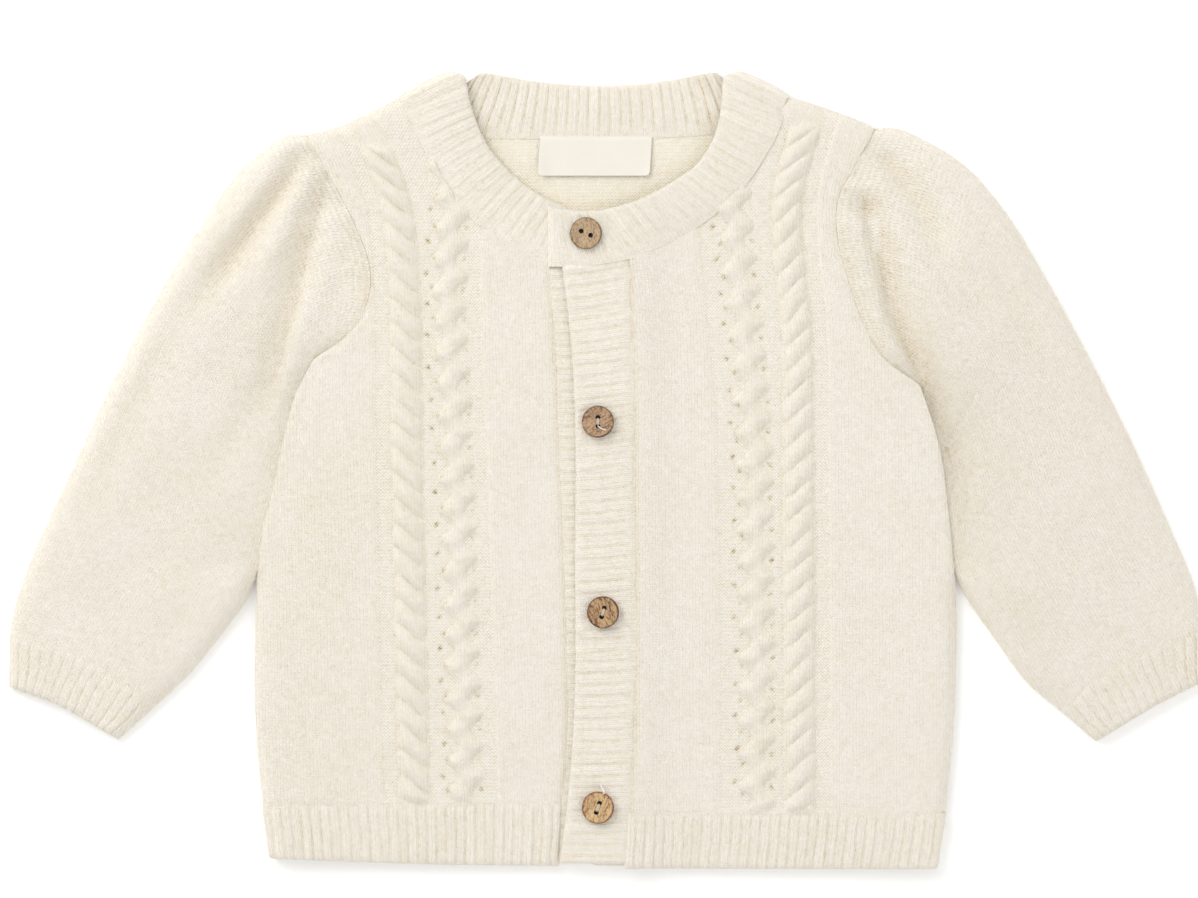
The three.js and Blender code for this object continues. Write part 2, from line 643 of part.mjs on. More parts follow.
// The band with the buttons on show, sewn to the wearer's left front
function buttonBand() {
  return ribbedStrip({
    seam: downEdge(placket.left, bandTop.seam, bandBottom, 0, buttonBandMiddle),
    free: downEdge(bandFreeEdge, bandTop.free, bandBottom, 0, buttonBandMiddle),
    pitch: bandRibPitch,
  });
}

// The band below it, sewn to the wearer's right front
function underBand() {
  const reach = bandTop.underFree;
  return ribbedStrip({
    seam: downEdge(placket.right, bandTop.underSeam, bandBottom + 0.7, 0, underBandMiddle).reverse(),
    free: downEdge(placket.left, reach, bandBottom + 0.7, -2, underBandMiddle).reverse(),
    pitch: bandRibPitch,
    height: underBandRib,
  });
}

// The ribbed hem of one front
function frontHem(side) {
  const out = side === "right" ? -1 : 1;
  const low = hemTop[side];
  const sideX = lookUp(sideEdge[side], "y", low, "x");
  const bandX = lookUp(placket[side], "y", low - 10, "x") + out * seamGap;
  const ends = side === "right" ? [sideX, bandX - 0.3] : [bandX + 0.3, sideX];
  const tuck = side === "right" ? [2.6, -1.3] : [-0.9, -3.2];
  const stations = [0, 0.02, 0.06, 0.15, 0.3, 0.5, 0.7, 0.85, 0.94, 0.98, 1];
  const place = (share, y, shift) => {
    const x = mix(ends[0], ends[1], share) + mix(tuck[0], tuck[1], share) * shift;
    const z = frontHeight(side, mix(ends[0], ends[1], share), low) - wall / 2 - 0.2;
    return new THREE.Vector3(x, y, Math.max(z, frontBase + wall / 2));
  };
  const edgeY = (share) => lookUp(hemEdge[side], "x", mix(ends[0], ends[1], share), "y");
  return ribbedStrip({
    seam: stations.map((share) => place(share, low, 0)),
    free: stations.map((share) => place(share, edgeY(share), 1)),
    pitch: hemRibPitch,
  });
}

// The hem of the back rests flat and is plain
function backHem() {
  const upSide = (side) => trace(sideEdge[side], 40)
    .filter((p) => p.y < hemTop[side] - 1 && p.y > hemEdge[side][0].y + 1);
  const corner = (side) => new THREE.Vector2(
    lookUp(sideEdge[side], "y", hemTop[side], "x"),
    hemTop[side] - seamGap / 2,
  );
  const lowEdge = [...hemEdge.right, ...hemEdge.left].reverse()
    .map((p) => new THREE.Vector2(p.x, p.y + backHemShorter));
  const outline = [
    ...upSide("right"), corner("right"), corner("left"), ...upSide("left").reverse(), ...lowEdge,
  ];
  return toGeometry(prism(outline, 0, backTop));
}

// How far a place is from a crease line, and how far along it
function creaseAt(line, x, y) {
  let nearest = { away: Infinity, along: 0 };
  for (let k = 0; k < line.length - 1; k += 1) {
    const [ax, ay] = line[k];
    const [dx, dy] = [line[k + 1][0] - ax, line[k + 1][1] - ay];
    const t = THREE.MathUtils.clamp(((x - ax) * dx + (y - ay) * dy) / (dx * dx + dy * dy), 0, 1);
    const away = Math.hypot(x - ax - dx * t, y - ay - dy * t);
    if (away < nearest.away) {
      nearest = { away, along: (k + t) / (line.length - 1) };
    }
  }
  return nearest;
}

function pleatRelief(side, x, y) {
  return pleats[side].reduce((sum, pleat) => {
    const { away, along } = creaseAt(pleat.line, x, y);
    const fade = smooth(along / 0.12) * smooth((1 - along) / 0.55);
    return sum - pleat.depth * fade * Math.exp(-((away / pleat.width) ** 2));
  }, 0);
}

// A tube pressed flat: rings round its top and its flat bottom, with a thinner hollow inside
function flatTube(place, height, rings, topPoints) {
  const skin = new Skin();
  const across = topPoints.map((u) => ({ u, low: false }));
  const under = [0.985, 0.75, 0.5, 0.25, 0.015].map((u) => ({ u, low: true }));
  const ring = (v, inside) => [...across, ...under].map(({ u, low }) => {
    const margin = inside ? wall / place(0.5, v).width : 0;
    const p = place(mix(margin, 1 - margin, u), v);
    const edge = u === 0 || u === 1;
    if (low) {
      return skin.point(p.x, p.y, inside ? wall : 0);
    }
    if (edge) {
      return skin.point(p.x, p.y, tubeEdge.height + (inside ? 0.1 : 0));
    }
    const top = height(u, v, p);
    return skin.point(p.x, p.y, inside ? Math.max(top - wall, wall + 0.4) : top);
  });
  const outer = rings.map((v) => ring(v, false));
  const inner = rings.map((v) => ring(v, true));
  for (let k = 0; k < rings.length - 1; k += 1) {
    skin.band(outer[k], outer[k + 1]);
    skin.band(inner[k], inner[k + 1], true);
  }
  skin.band(inner[0], outer[0]);
  skin.band(inner[rings.length - 1], outer[rings.length - 1], true);
  return skin.geometry();
}

// A smooth patch between four edges: start and end rows, first and second long edges
function patch(start, end, first, second) {
  const curves = [start, end, first, second].map(spline);
  const corners = [start[0], start[start.length - 1], end[0], end[end.length - 1]];
  return (u, v) => {
    const [s, e] = [curves[0].getPointAt(u), curves[1].getPointAt(u)];
    const [a, b] = [curves[2].getPointAt(v), curves[3].getPointAt(v)];
    const blend = (key) => mix(s[key], e[key], v) + mix(a[key], b[key], u)
      - mix(mix(corners[0][key], corners[1][key], u), mix(corners[2][key], corners[3][key], u), v);
    return { x: blend("x"), y: blend("y"), width: a.distanceTo(b) };
  };
}

const cosineSteps = (count) => [...Array(count + 1).keys()]
  .map((k) => 0.5 - 0.5 * Math.cos((Math.PI * k) / count));

function edgeRoll(u, width) {
  return 1 - Math.exp((-Math.min(u, 1 - u) * width) / tubeEdge.roll);
}

function sleeve(side) {
  const at = patch([...armhole[side]].reverse(), cuffSeam[side], sleeveOuter[side], sleeveInner[side]);
  const height = (u, v, p) => {
    const crown = lookUp(sleeveCrown, "along", v, "height");
    const full = tubeEdge.height + (crown - tubeEdge.height) * edgeRoll(u, p.width);
    const puffed = full + pleatRelief(side, p.x, p.y);
    const lowest = Math.min(full, tubeEdge.lowest);
    return Math.max(puffed, lowest);
  };
  const rings = [...Array(sleeveRings).keys()].map((k) => {
    const along = (k / (sleeveRings - 1)) ** 1.25;
    return mix(1.5 * seamGap, sleeveLength - seamGap, along) / sleeveLength;
  });
  return flatTube(at, height, rings, cosineSteps(sleevePoints));
}

function cuff(side) {
  const start = cuffSeam[side];
  const end = cuffEdge[side];
  const at = patch(start, end, [start[0], end[0]], [start[start.length - 1], end[end.length - 1]]);
  const plainPart = 0.03;
  const share = (k) => mix(plainPart, 1 - plainPart, k / cuffRibs);
  const steps = [0, 0.008];
  const crests = new Set();
  for (let k = 0; k < cuffRibs; k += 1) {
    crests.add(share(k + 0.3));
    crests.add(share(k + 0.7));
    steps.push(share(k + 0.3), share(k + 0.7), share(k + 1));
  }
  steps.push(0.992, 1);
  const roundFrom = 0.95;
  const height = (u, v, p) => {
    const atEdge = v > roundFrom;
    const crown = mix(cuffCrown.atSeam, cuffCrown.atEdge, v) - (atEdge ? 0.5 : 0);
    const full = tubeEdge.height + (crown - tubeEdge.height) * edgeRoll(u, p.width);
    return full + (crests.has(u) ? ribHeight * (atEdge ? 0.5 : 1) : 0);
  };
  return flatTube(at, height, [seamGap / cuffDepth, roundFrom - 0.03, 1], steps);
}

// Buttons of coconut shell with two holes, a raised rim and a dished face
const buttonProfile = [
  { inset: 6, height: 0 }, { inset: 0.7, height: 0 }, { inset: 0, height: 0.7 },
  { inset: 0, height: buttonThickness - 0.5 }, { inset: 0.6, height: buttonThickness },
  { inset: 1.3, height: buttonThickness - 0.1 }, { inset: 2.2, height: buttonThickness - 0.6 },
  { inset: 6, height: buttonThickness - 0.6 },
];
const buttons = [
  { name: "button_1", x: -7.9, y: 87.8, turn: 8 },
  { name: "button_2", x: -3.4, y: 17.3, turn: 90 },
  { name: "button_3", x: -1.5, y: -54, turn: 60 },
  { name: "button_4", x: -3.4, y: -127.1, turn: 55 },
];

function button(turn) {
  const radius = buttonDiameter / 2;
  const profile = buttonProfile.map((row) => new THREE.Vector2(radius - row.inset, row.height));
  const disc = solidOfTurn(profile, 20);
  const holeRadius = buttonHoleDiameter / 2;
  const past = 2 * buttonThickness;
  const hole = [[0, -1], [holeRadius, -1], [holeRadius, past], [0, past]]
    .map(([r, z]) => new THREE.Vector2(r, z));
  const angle = THREE.MathUtils.degToRad(turn);
  const reach = buttonHoleSpacing / 2;
  const drilled = [-1, 1].reduce((rest, way) => rest.subtract(solidOfTurn(hole, 8)
    .translate([way * reach * Math.cos(angle), way * reach * Math.sin(angle), 0])), disc);
  return toGeometry(drilled);
}

// Turns a profile of (radius, height) rows, which starts and ends on the axis, about Z
function solidOfTurn(profile, segments) {
  const skin = new Skin();
  const rings = profile.slice(1, -1).map((row) => [...Array(segments).keys()].map((k) => {
    const angle = (2 * Math.PI * k) / segments;
    return skin.point(row.x * Math.cos(angle), row.x * Math.sin(angle), row.y);
  }));
  const poles = [profile[0], profile[profile.length - 1]].map((row) => skin.point(0, 0, row.y));
  for (let k = 0; k < rings.length - 1; k += 1) {
    skin.band(rings[k], rings[k + 1]);
  }
  rings[0].forEach((p, k) => {
    skin.faces.push(poles[0].id, rings[0][(k + 1) % segments].id, p.id);
  });
  const last = rings[rings.length - 1];
  last.forEach((p, k) => {
    skin.faces.push(poles[1].id, p.id, last[(k + 1) % segments].id);
  });
  return toSolid(skin.geometry());
}

// Puts the pieces together
const cardigan = new THREE.Group();

function addPiece(name, geometry, finish) {
  const flat = geometry.index ? geometry.toNonIndexed() : geometry;
  flat.computeVertexNormals();
  const mesh = new THREE.Mesh(flat, new THREE.MeshStandardMaterial(finish));
  mesh.name = name;
  cardigan.add(mesh);
  return mesh;
}

addPiece("back", back(), cream);
addPiece("hem_back", backHem(), cream);
["right", "left"].forEach((side) => {
  addPiece(`front_${side}`, front(side), cream);
  addPiece(`hem_${side}`, frontHem(side), cream);
  addPiece(`sleeve_${side}`, sleeve(side), cream);
  addPiece(`cuff_${side}`, cuff(side), cream);
});
addPiece("neckband", neckband(), cream);
addPiece("under_band", underBand(), cream);
addPiece("button_band", buttonBand(), cream);
const labelGeometry = new THREE.BoxGeometry(label.width, label.height, label.thickness);
const labelMesh = addPiece("label", labelGeometry, satin);
labelMesh.position.set(label.x, label.top - label.height / 2, backTop + 0.3 + label.thickness / 2);
buttons.forEach(({ name, x, y, turn }) => {
  const mesh = addPiece(name, button(turn), shell);
  const seat = buttonBandMiddle + wall / 2 + ribHeight + (name === "button_1" ? 0.3 : 0);
  mesh.position.set(x, y, seat + 0.3);
});

export default cardigan;
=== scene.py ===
import math

import bpy
import numpy as np
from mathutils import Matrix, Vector


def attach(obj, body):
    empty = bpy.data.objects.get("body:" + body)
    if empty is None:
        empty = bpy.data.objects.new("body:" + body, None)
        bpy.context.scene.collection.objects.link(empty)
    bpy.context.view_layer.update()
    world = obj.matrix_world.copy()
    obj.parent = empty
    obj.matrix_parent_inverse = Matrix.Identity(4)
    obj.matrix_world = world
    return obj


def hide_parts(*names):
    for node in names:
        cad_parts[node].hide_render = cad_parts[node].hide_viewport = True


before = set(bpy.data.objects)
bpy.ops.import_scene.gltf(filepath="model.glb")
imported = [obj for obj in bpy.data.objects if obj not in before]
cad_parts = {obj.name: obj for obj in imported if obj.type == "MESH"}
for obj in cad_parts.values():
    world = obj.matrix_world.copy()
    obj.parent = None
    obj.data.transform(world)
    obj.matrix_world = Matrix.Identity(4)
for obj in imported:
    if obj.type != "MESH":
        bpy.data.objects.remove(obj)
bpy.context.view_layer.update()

# Camera, light and table. The cardigan lies on a white table and is looked at from straight
# above through a long lens, in soft light that comes mostly from the upper left.
camera_height = 1.6
view_width = 0.44925
view_middle = (-0.003, 0.0071)
cloth_level = 0.006
overhead = bpy.data.cameras.new("overhead_camera")
overhead.sensor_width = 36.0
overhead.lens = overhead.sensor_width * (camera_height - cloth_level) / view_width
camera = bpy.data.objects.new("overhead_camera", overhead)
camera.location = (*view_middle, camera_height)
bpy.context.collection.objects.link(camera)
bpy.context.scene.camera = camera
bpy.context.scene.view_settings.view_transform = "Standard"


def softbox(name, place, size, power, tint):
    """A square lamp that looks at the middle of the table."""
    lamp = bpy.data.lights.new(name, "AREA")
    lamp.size = size
    lamp.energy = power
    lamp.color = tint
    light = bpy.data.objects.new(name, lamp)
    light.location = place
    light.rotation_euler = (-Vector(place)).to_track_quat("-Z", "Y").to_euler()
    bpy.context.collection.objects.link(light)


softbox("window_light", (-1.0, 1.0, 1.1), 1.2, 16.0, (1.0, 0.992, 0.98))
softbox("fill_light", (1.2, -0.5, 1.1), 1.4, 4.5, (1.0, 0.995, 0.99))
room = bpy.data.worlds.new("white_room")
room.use_nodes = True
room.node_tree.nodes["Background"].inputs["Color"].default_value = (1.0, 0.995, 0.985, 1.0)
room.node_tree.nodes["Background"].inputs["Strength"].default_value = 0.76
bpy.context.scene.world = room

table_mesh = bpy.data.meshes.new("table_top")
table_mesh.from_pydata([(-4, -4, 0), (4, -4, 0), (4, 4, 0), (-4, 4, 0)], [], [(0, 1, 2, 3)])
table_top = bpy.data.objects.new("table_top", table_mesh)
bpy.context.collection.objects.link(table_top)
white_paper = bpy.data.materials.new("white_paper")
white_paper.use_nodes = True
paper_shader = white_paper.node_tree.nodes["Principled BSDF"]
paper_shader.inputs["Base Color"].default_value = (0.975, 0.975, 0.97, 1.0)
paper_shader.inputs["Roughness"].default_value = 0.9
paper_shader.inputs["Emission Color"].default_value = (1.0, 1.0, 1.0, 1.0)
paper_shader.inputs["Emission Strength"].default_value = 0.1
paper_grain = white_paper.node_tree.nodes.new("ShaderNodeTexNoise")
paper_grain.inputs["Scale"].default_value = 900.0
paper_bump = white_paper.node_tree.nodes.new("ShaderNodeBump")
paper_bump.inputs["Strength"].default_value = 0.05
paper_bump.inputs["Distance"].default_value = 0.0001
white_paper.node_tree.links.new(paper_grain.outputs["Fac"], paper_bump.inputs["Height"])
white_paper.node_tree.links.new(paper_bump.outputs["Normal"], paper_shader.inputs["Normal"])
table_mesh.materials.append(white_paper)

# Back panel. Plain knitting in brushed cream wool, with its purl side up inside the neck. It lies
# flat on the table under both fronts and is joined to them at the side and shoulder seams.
METRES = 0.001
side_edge = {
    "right": [
        (-125.6, -150), (-129, -127.5), (-130.9, -109.5), (-132, -94.5), (-132.4, -72), (-132, -57),
        (-131.3, -42), (-129.4, -24), (-125.6, -8.6), (-121.1, 12), (-116.6, 28.1), (-109.5, 41.6),
    ],
    "left": [
        (123.4, -154), (127, -130.5), (129, -112.5), (130.5, -94.5), (131.3, -72), (131.6, -57),
        (129.8, -34.5), (127.8, -14), (124.9, 6.8), (117.4, 31.1),
    ],
}
armhole = {
    "right": [
        (-109.5, 41.6), (-102, 46.1), (-94.1, 53.6), (-88.9, 66.8),
        (-89.6, 78), (-96.4, 94.9), (-105.8, 112.5), (-112.9, 125),
    ],
    "left": [
        (117.4, 31.1), (104.3, 40.5), (95.6, 55.5), (90.4, 70.5),
        (86.3, 87.4), (86.6, 100.5), (93, 113.6), (100.9, 127.5),
    ],
}
shoulder = {
    "right": [
        (-112.9, 125), (-103.9, 127.1), (-96.4, 130.1), (-88.9, 133.5), (-81.4, 137.3), (-77.2, 139.4),
    ],
    "left": [(100.9, 127.5), (91.1, 132), (83.6, 134.6), (76.1, 137.3), (67.6, 139.4)],
}
neck_seam = {
    "right": [
        (-75.8, 136.5), (-70.9, 126.4), (-65.6, 116.3), (-60, 106.5),
        (-54.4, 98.6), (-46.9, 91.9), (-36.4, 85.1), (-21.4, 77.3),
    ],
    "left": [
        (66, 136.9), (63, 126.4), (57.4, 116.3), (51, 106.9),
        (43.9, 99.8), (36, 93.4), (24.4, 86.3), (8.4, 79.6),
    ],
}
back_neck_seam = [
    (-73.5, 132.4), (-60.8, 127.5), (-48.4, 124.7), (-32.6, 124.1), (-15.8, 124.1), (0, 124.4),
    (16.1, 124.4), (31.1, 125.1), (43.1, 126.4), (54.4, 129), (63.6, 133.2),
]
neck_edge = {
    "right": [
        (-53.3, 143.6), (-49.1, 129.8), (-44.3, 120), (-38.6, 112.9),
        (-31.9, 106.9), (-25.9, 102.8), (-20, 99.6), (-12, 96.6),
    ],
    "left": [
        (43.9, 144), (42, 129.8), (38.6, 120.4), (32.3, 112.5),
        (24.8, 107.3), (16.9, 102.8), (7.9, 99), (-3, 96.4),
    ],
}
hem_top = {"right": -126.8, "left": -130.2}
back_top = 2.1


def line(points, key="y"):
    """A smooth line through points: gives x for a y, or y for an x."""
    by = 1 if key == "y" else 0
    rows = np.array(sorted(points, key=lambda point: point[by]), float)
    at, value = rows[:, by], rows[:, 1 - by]
    slope = np.diff(value) / np.diff(at)
    bend = np.concatenate([slope[:1], (slope[1:] + slope[:-1]) / 2, slope[-1:]])

    def place(where):
        where = np.asarray(where, float)
        k = np.clip(np.searchsorted(at, where) - 1, 0, len(slope) - 1)
        span = at[k + 1] - at[k]
        t = (where - at[k]) / span
        s = np.clip(t, 0, 1)
        start, finish = 2 * s**3 - 3 * s**2 + 1, 3 * s**2 - 2 * s**3
        turn = (s**3 - 2 * s**2 + s) * bend[k] + (s**3 - s**2) * bend[k + 1]
        return start * value[k] + finish * value[k + 1] + span * (turn + (t - s) * slope[k])

    return place


def ease(t):
    """Goes softly from 0 to 1."""
    t = np.clip(t, 0, 1)
    return t * t * (3 - 2 * t)


def unevenness(x, y, wavelength, seed):
    """Soft hollows and swells, from -1 to 1, as cloth that was laid by hand has."""
    chance = np.random.default_rng(seed)
    total = 0
    for _ in range(6):
        direction = chance.uniform(0, math.pi)
        length = wavelength * chance.uniform(0.7, 1.6)
        phase = chance.uniform(0, 2 * math.pi)
        along = x * math.cos(direction) + y * math.sin(direction)
        total = total + np.sin(2 * math.pi * along / length + phase)
    return total / 6


def unit(vectors):
    return vectors / np.linalg.norm(vectors, axis=1)[:, None]


def rounded(distance, radius, least=0):
    """A quarter circle: least at an edge, and 1 from the radius on."""
    return np.sqrt(np.clip(1 - (1 - np.clip(distance / radius, 0, 1)) ** 2, least, 1))


def ringed(ids):
    """Point numbers with the first column again at the end, so that rows close to rings."""
    return np.concatenate([ids, ids[:, :1]], axis=1)


def quads(ids):
    """Four-sided faces between the rows and columns of a table of points."""
    corners = [ids[:-1, :-1], ids[:-1, 1:], ids[1:, 1:], ids[1:, :-1]]
    return np.stack(corners, -1).reshape(-1, 4).tolist()


def edge_faces(fine, coarse, turned):
    """Triangles that join a row of points to a row with fewer points."""
    step = (len(fine) - 1) // (len(coarse) - 1)
    half = (step + 1) // 2
    faces = []
    for k in range(len(coarse) - 1):
        run = fine[k * step:(k + 1) * step + 1]
        for j in range(step):
            faces.append((run[j], run[j + 1], coarse[k + int(j >= half)]))
        faces.append((coarse[k + 1], coarse[k], run[half]))
    return [face[::-1] if turned else face for face in faces]


def cloth_mesh(name, points, faces, stitches, painted_shade=None, purl=None):
    """A closed piece of knitting. Stitches holds, for each point, the millimetres across the wales
    and along them; the shade values give each point its painted shade in grooves, folds, seams and holes; purl
    is 1 where purl side shows."""
    points = np.asarray(points, float) * METRES
    solid = 0
    for size in (3, 4):
        some = np.array([face for face in faces if len(face) == size], int)
        for k in range(1, size - 1):
            if len(some):
                a, b, c = points[some[:, 0]], points[some[:, k]], points[some[:, k + 1]]
                solid += np.einsum("ij,ij->i", a, np.cross(b, c)).sum()
    if solid < 0:
        faces = [tuple(face)[::-1] for face in faces]
    mesh = bpy.data.meshes.new(name)
    mesh.from_pydata(points.tolist(), [], [tuple(face) for face in faces])
    corners = np.empty(len(mesh.loops), int)
    mesh.loops.foreach_get("vertex_index", corners)
    layer = mesh.uv_layers.new(name="stitches")
    layer.data.foreach_set("uv", np.asarray(stitches, np.float32)[corners].ravel())
    for label, values in (("painted_shade", painted_shade), ("purl", purl)):
        if values is not None:
            attribute = mesh.attributes.new(label, "FLOAT", "POINT")
            attribute.data.foreach_set("value", np.asarray(values, np.float32))
    mesh.polygons.foreach_set("use_smooth", np.ones(len(mesh.polygons), bool))
    mesh.set_sharp_from_angle(angle=math.radians(64))
    piece = bpy.data.objects.new(name, mesh)
    bpy.context.collection.objects.link(piece)
    return piece


def panel(name, x, y, top, under, stitches, painted_shade, purl, step=5):
    """A flat piece as a thin closed shell: a fine upper side over a coarser lower one."""
    rows, columns = x.shape
    upper = np.arange(rows * columns).reshape(rows, columns)
    thin = (slice(None, None, step), slice(None, None, step))
    lower = rows * columns + np.arange(x[thin].size).reshape(x[thin].shape)
    faces = quads(upper) + quads(lower[::-1])
    faces += edge_faces(upper[0], lower[0], True) + edge_faces(upper[-1], lower[-1], False)
    faces += edge_faces(upper[:, 0], lower[:, 0], False)
    faces += edge_faces(upper[:, -1], lower[:, -1], True)
    points = np.concatenate([
        np.stack([x, y, top], -1).reshape(-1, 3),
        np.stack([x[thin], y[thin], under[thin]], -1).reshape(-1, 3),
    ])

    def both(values):
        flat = np.stack([values], -1) if values.ndim == 2 else values
        kept = flat.reshape(-1, flat.shape[-1])
        return np.squeeze(np.concatenate([kept, flat[thin].reshape(-1, flat.shape[-1])]))

    return cloth_mesh(name, points, faces, both(stitches), both(painted_shade), both(purl))


wale, course = 1.25, 0.95


def blank_material(name):
    material = bpy.data.materials.new(name)
    material.use_nodes = True
    tree = material.node_tree
    return material, tree, tree.nodes["Principled BSDF"]


def sums_in(tree):
    """A short way to put arithmetic into a material."""
    def calc(operation, first, second=0.0, third=0.0):
        step = tree.nodes.new("ShaderNodeMath")
        step.operation = operation
        for socket, value in zip(step.inputs, (first, second, third)):
            if isinstance(value, (int, float)):
                socket.default_value = value
            else:
                tree.links.new(value, socket)
        return step.outputs[0]

    return calc


def raised(tree, shader, height, strength, distance):
    """Fine relief in a material."""
    bump = tree.nodes.new("ShaderNodeBump")
    bump.inputs["Strength"].default_value = strength
    bump.inputs["Distance"].default_value = distance
    tree.links.new(height, bump.inputs["Height"])
    tree.links.new(bump.outputs["Normal"], shader.inputs["Normal"])


def wool(name, cream, beige):
    """Brushed knitted wool: a stocking stitch that turns to purl, loose fibre and soft sheen, with painted
    shade and light in its colour.
    """
    material, tree, shader = blank_material(name)
    calc = sums_in(tree)

    def noise(scale, detail, place, stretch=None, turn=0.0):
        texture = tree.nodes.new("ShaderNodeTexNoise")
        texture.inputs["Scale"].default_value = scale
        texture.inputs["Detail"].default_value = detail
        if stretch:
            comb = tree.nodes.new("ShaderNodeMapping")
            comb.vector_type = "TEXTURE"
            comb.inputs["Rotation"].default_value = (0.0, 0.0, turn)
            comb.inputs["Scale"].default_value = stretch
            texture.inputs["Distortion"].default_value = 0.9
            tree.links.new(place, comb.inputs["Vector"])
            place = comb.outputs["Vector"]
        tree.links.new(place, texture.inputs["Vector"])
        return texture.outputs["Fac"]

    def kept(attribute):
        reader = tree.nodes.new("ShaderNodeAttribute")
        reader.attribute_name = attribute
        return reader.outputs["Fac"]

    where = tree.nodes.new("ShaderNodeUVMap")
    where.uv_map = "stitches"
    split = tree.nodes.new("ShaderNodeSeparateXYZ")
    tree.links.new(where.outputs["UV"], split.inputs["Vector"])
    in_space = tree.nodes.new("ShaderNodeTexCoord").outputs["Object"]
    wander = calc("MULTIPLY_ADD", noise(0.22, 2.0, where.outputs["UV"]), 0.9, -0.45)
    across = calc("DIVIDE", calc("ADD", split.outputs["X"], wander), wale)
    along = calc("DIVIDE", calc("ADD", split.outputs["Y"], wander), course)
    leg = calc("ABSOLUTE", calc("MULTIPLY_ADD", calc("FRACT", across), 2.0, -1.0))
    slanted = calc("SUBTRACT", along, calc("MULTIPLY", leg, 0.85))
    wave = calc("MULTIPLY_ADD", calc("COSINE", calc("MULTIPLY", slanted, 2 * math.pi)), 0.28, 0.72)
    ridge = calc("SUBTRACT", 1.0, calc("POWER", calc("MULTIPLY_ADD", leg, 1.7, -0.75), 2.0))
    stocking = calc("MULTIPLY", wave, ridge)
    rows = calc("MULTIPLY", along, 0.75)
    arch = calc("MULTIPLY_ADD", calc("COSINE", calc("MULTIPLY", across, 2 * math.pi)), 0.28, rows)
    bar = calc("MULTIPLY_ADD", calc("COSINE", calc("MULTIPLY", arch, 2 * math.pi)), 0.45, 0.62)
    turned = kept("purl")
    knit = calc("ADD", calc("MULTIPLY", stocking, calc("SUBTRACT", 1.0, turned)),
                calc("MULTIPLY", bar, turned))
    combed = [noise(1000.0, 2.0, in_space, (0.45, 2.6, 1.0), turn) for turn in (0.3, 1.3, 2.4)]
    fibre = calc("MAXIMUM", calc("MAXIMUM", combed[0], combed[1]), combed[2])
    tufts = noise(420.0, 2.0, in_space)
    height = calc("MULTIPLY_ADD", fibre, 1.1, calc("MULTIPLY", knit, 0.55))
    height = calc("MULTIPLY_ADD", tufts, 0.6, height)
    raised(tree, shader, height, 0.85, 0.00052)

    # Painted shade: this attribute holds the shade that the pieces paint into their grooves, folds, seams and
    # eyelets.
    painted_shade = kept("painted_shade")
    # Partly random tone and partly painted light: the coarse noise is the wool's uneven tone, and the raised
    # tufts are painted lighter.
    mottle = calc("MULTIPLY_ADD", noise(60.0, 4.0, in_space), 0.2, -0.1)
    mottle = calc("ADD", mottle, calc("MULTIPLY_ADD", tufts, -0.3, 0.15))
    # Painted shade: the colour darkens between the stitch loops, where the knit's relief is low.
    stitch_gap_shade = calc("MULTIPLY_ADD", calc("SUBTRACT", 1.0, knit), 0.52, -0.12)
    # Painted light and shade: raised combed fibres are painted lighter, and the low places between them
    # darker.
    loose = calc("MULTIPLY_ADD", fibre, -1.3, 0.78)
    depth = calc("ADD", calc("ADD", painted_shade, stitch_gap_shade), calc("ADD", mottle, loose))
    # Cream is the wool's own colour. The beige and the dark brown that the ramp runs to stand for painted
    # shade, and a little for the wool's uneven tone.
    tones = tree.nodes.new("ShaderNodeValToRGB")
    tones.color_ramp.elements[0].color = (*cream, 1.0)
    tones.color_ramp.elements[1].color = (0.36, 0.235, 0.095, 1.0)
    middle = tones.color_ramp.elements.new(0.5)
    middle.color = (*beige, 1.0)
    tree.links.new(depth, tones.inputs["Fac"])
    tree.links.new(tones.outputs["Color"], shader.inputs["Base Color"])
    shader.inputs["Roughness"].default_value = 0.92
    shader.inputs["Specular IOR Level"].default_value = 0.15
    shader.inputs["Sheen Weight"].default_value = 0.3
    shader.inputs["Sheen Roughness"].default_value = 0.55
    shader.inputs["Sheen Tint"].default_value = (1.0, 0.97, 0.9, 1.0)
    return material


cream_wool = wool("cream_wool", (0.965, 0.925, 0.858), (0.85, 0.765, 0.605))


def spread(first, last, steps):
    """Even steps between two lines of places, as columns beside each other."""
    return first + (last - first) * np.linspace(0, 1, steps + 1)[None, :]


def crease(path, x, y):
    """Distance from a fold line, how far along it a place is, and on which side of it."""
    away, along, side = np.full(x.shape, 1e9), 0 * x, 0 * x
    pieces = len(path) - 1
    for k in range(pieces):
        (ax, ay), (bx, by) = path[k], path[k + 1]
        dx, dy = bx - ax, by - ay
        t = np.clip(((x - ax) * dx + (y - ay) * dy) / (dx * dx + dy * dy), 0, 1)
        gap = np.hypot(x - ax - dx * t, y - ay - dy * t)
        along = np.where(gap < away, (k + t) / pieces, along)
        side = np.where(gap < away, np.sign((x - ax) * dy - (y - ay) * dx), side)
        away = np.minimum(gap, away)
    return away, along, side


back_rows, back_columns = 111, 91
rows_up = np.linspace(hem_top["left"] + 0.5, 139.0, back_rows)[:, None]


def body_edge(side, y, inset=0.0):
    """The outer edge of the body: side seam, then armhole, then shoulder."""
    foot, top = armhole[side][0][1], armhole[side][-1][1]
    below = line(side_edge[side])(y)
    beside = line(armhole[side])(y)
    above = line(shoulder[side])(y)
    out = -1 if side == "right" else 1
    return np.where(y < foot, below, np.where(y < top, beside, above)) - out * inset


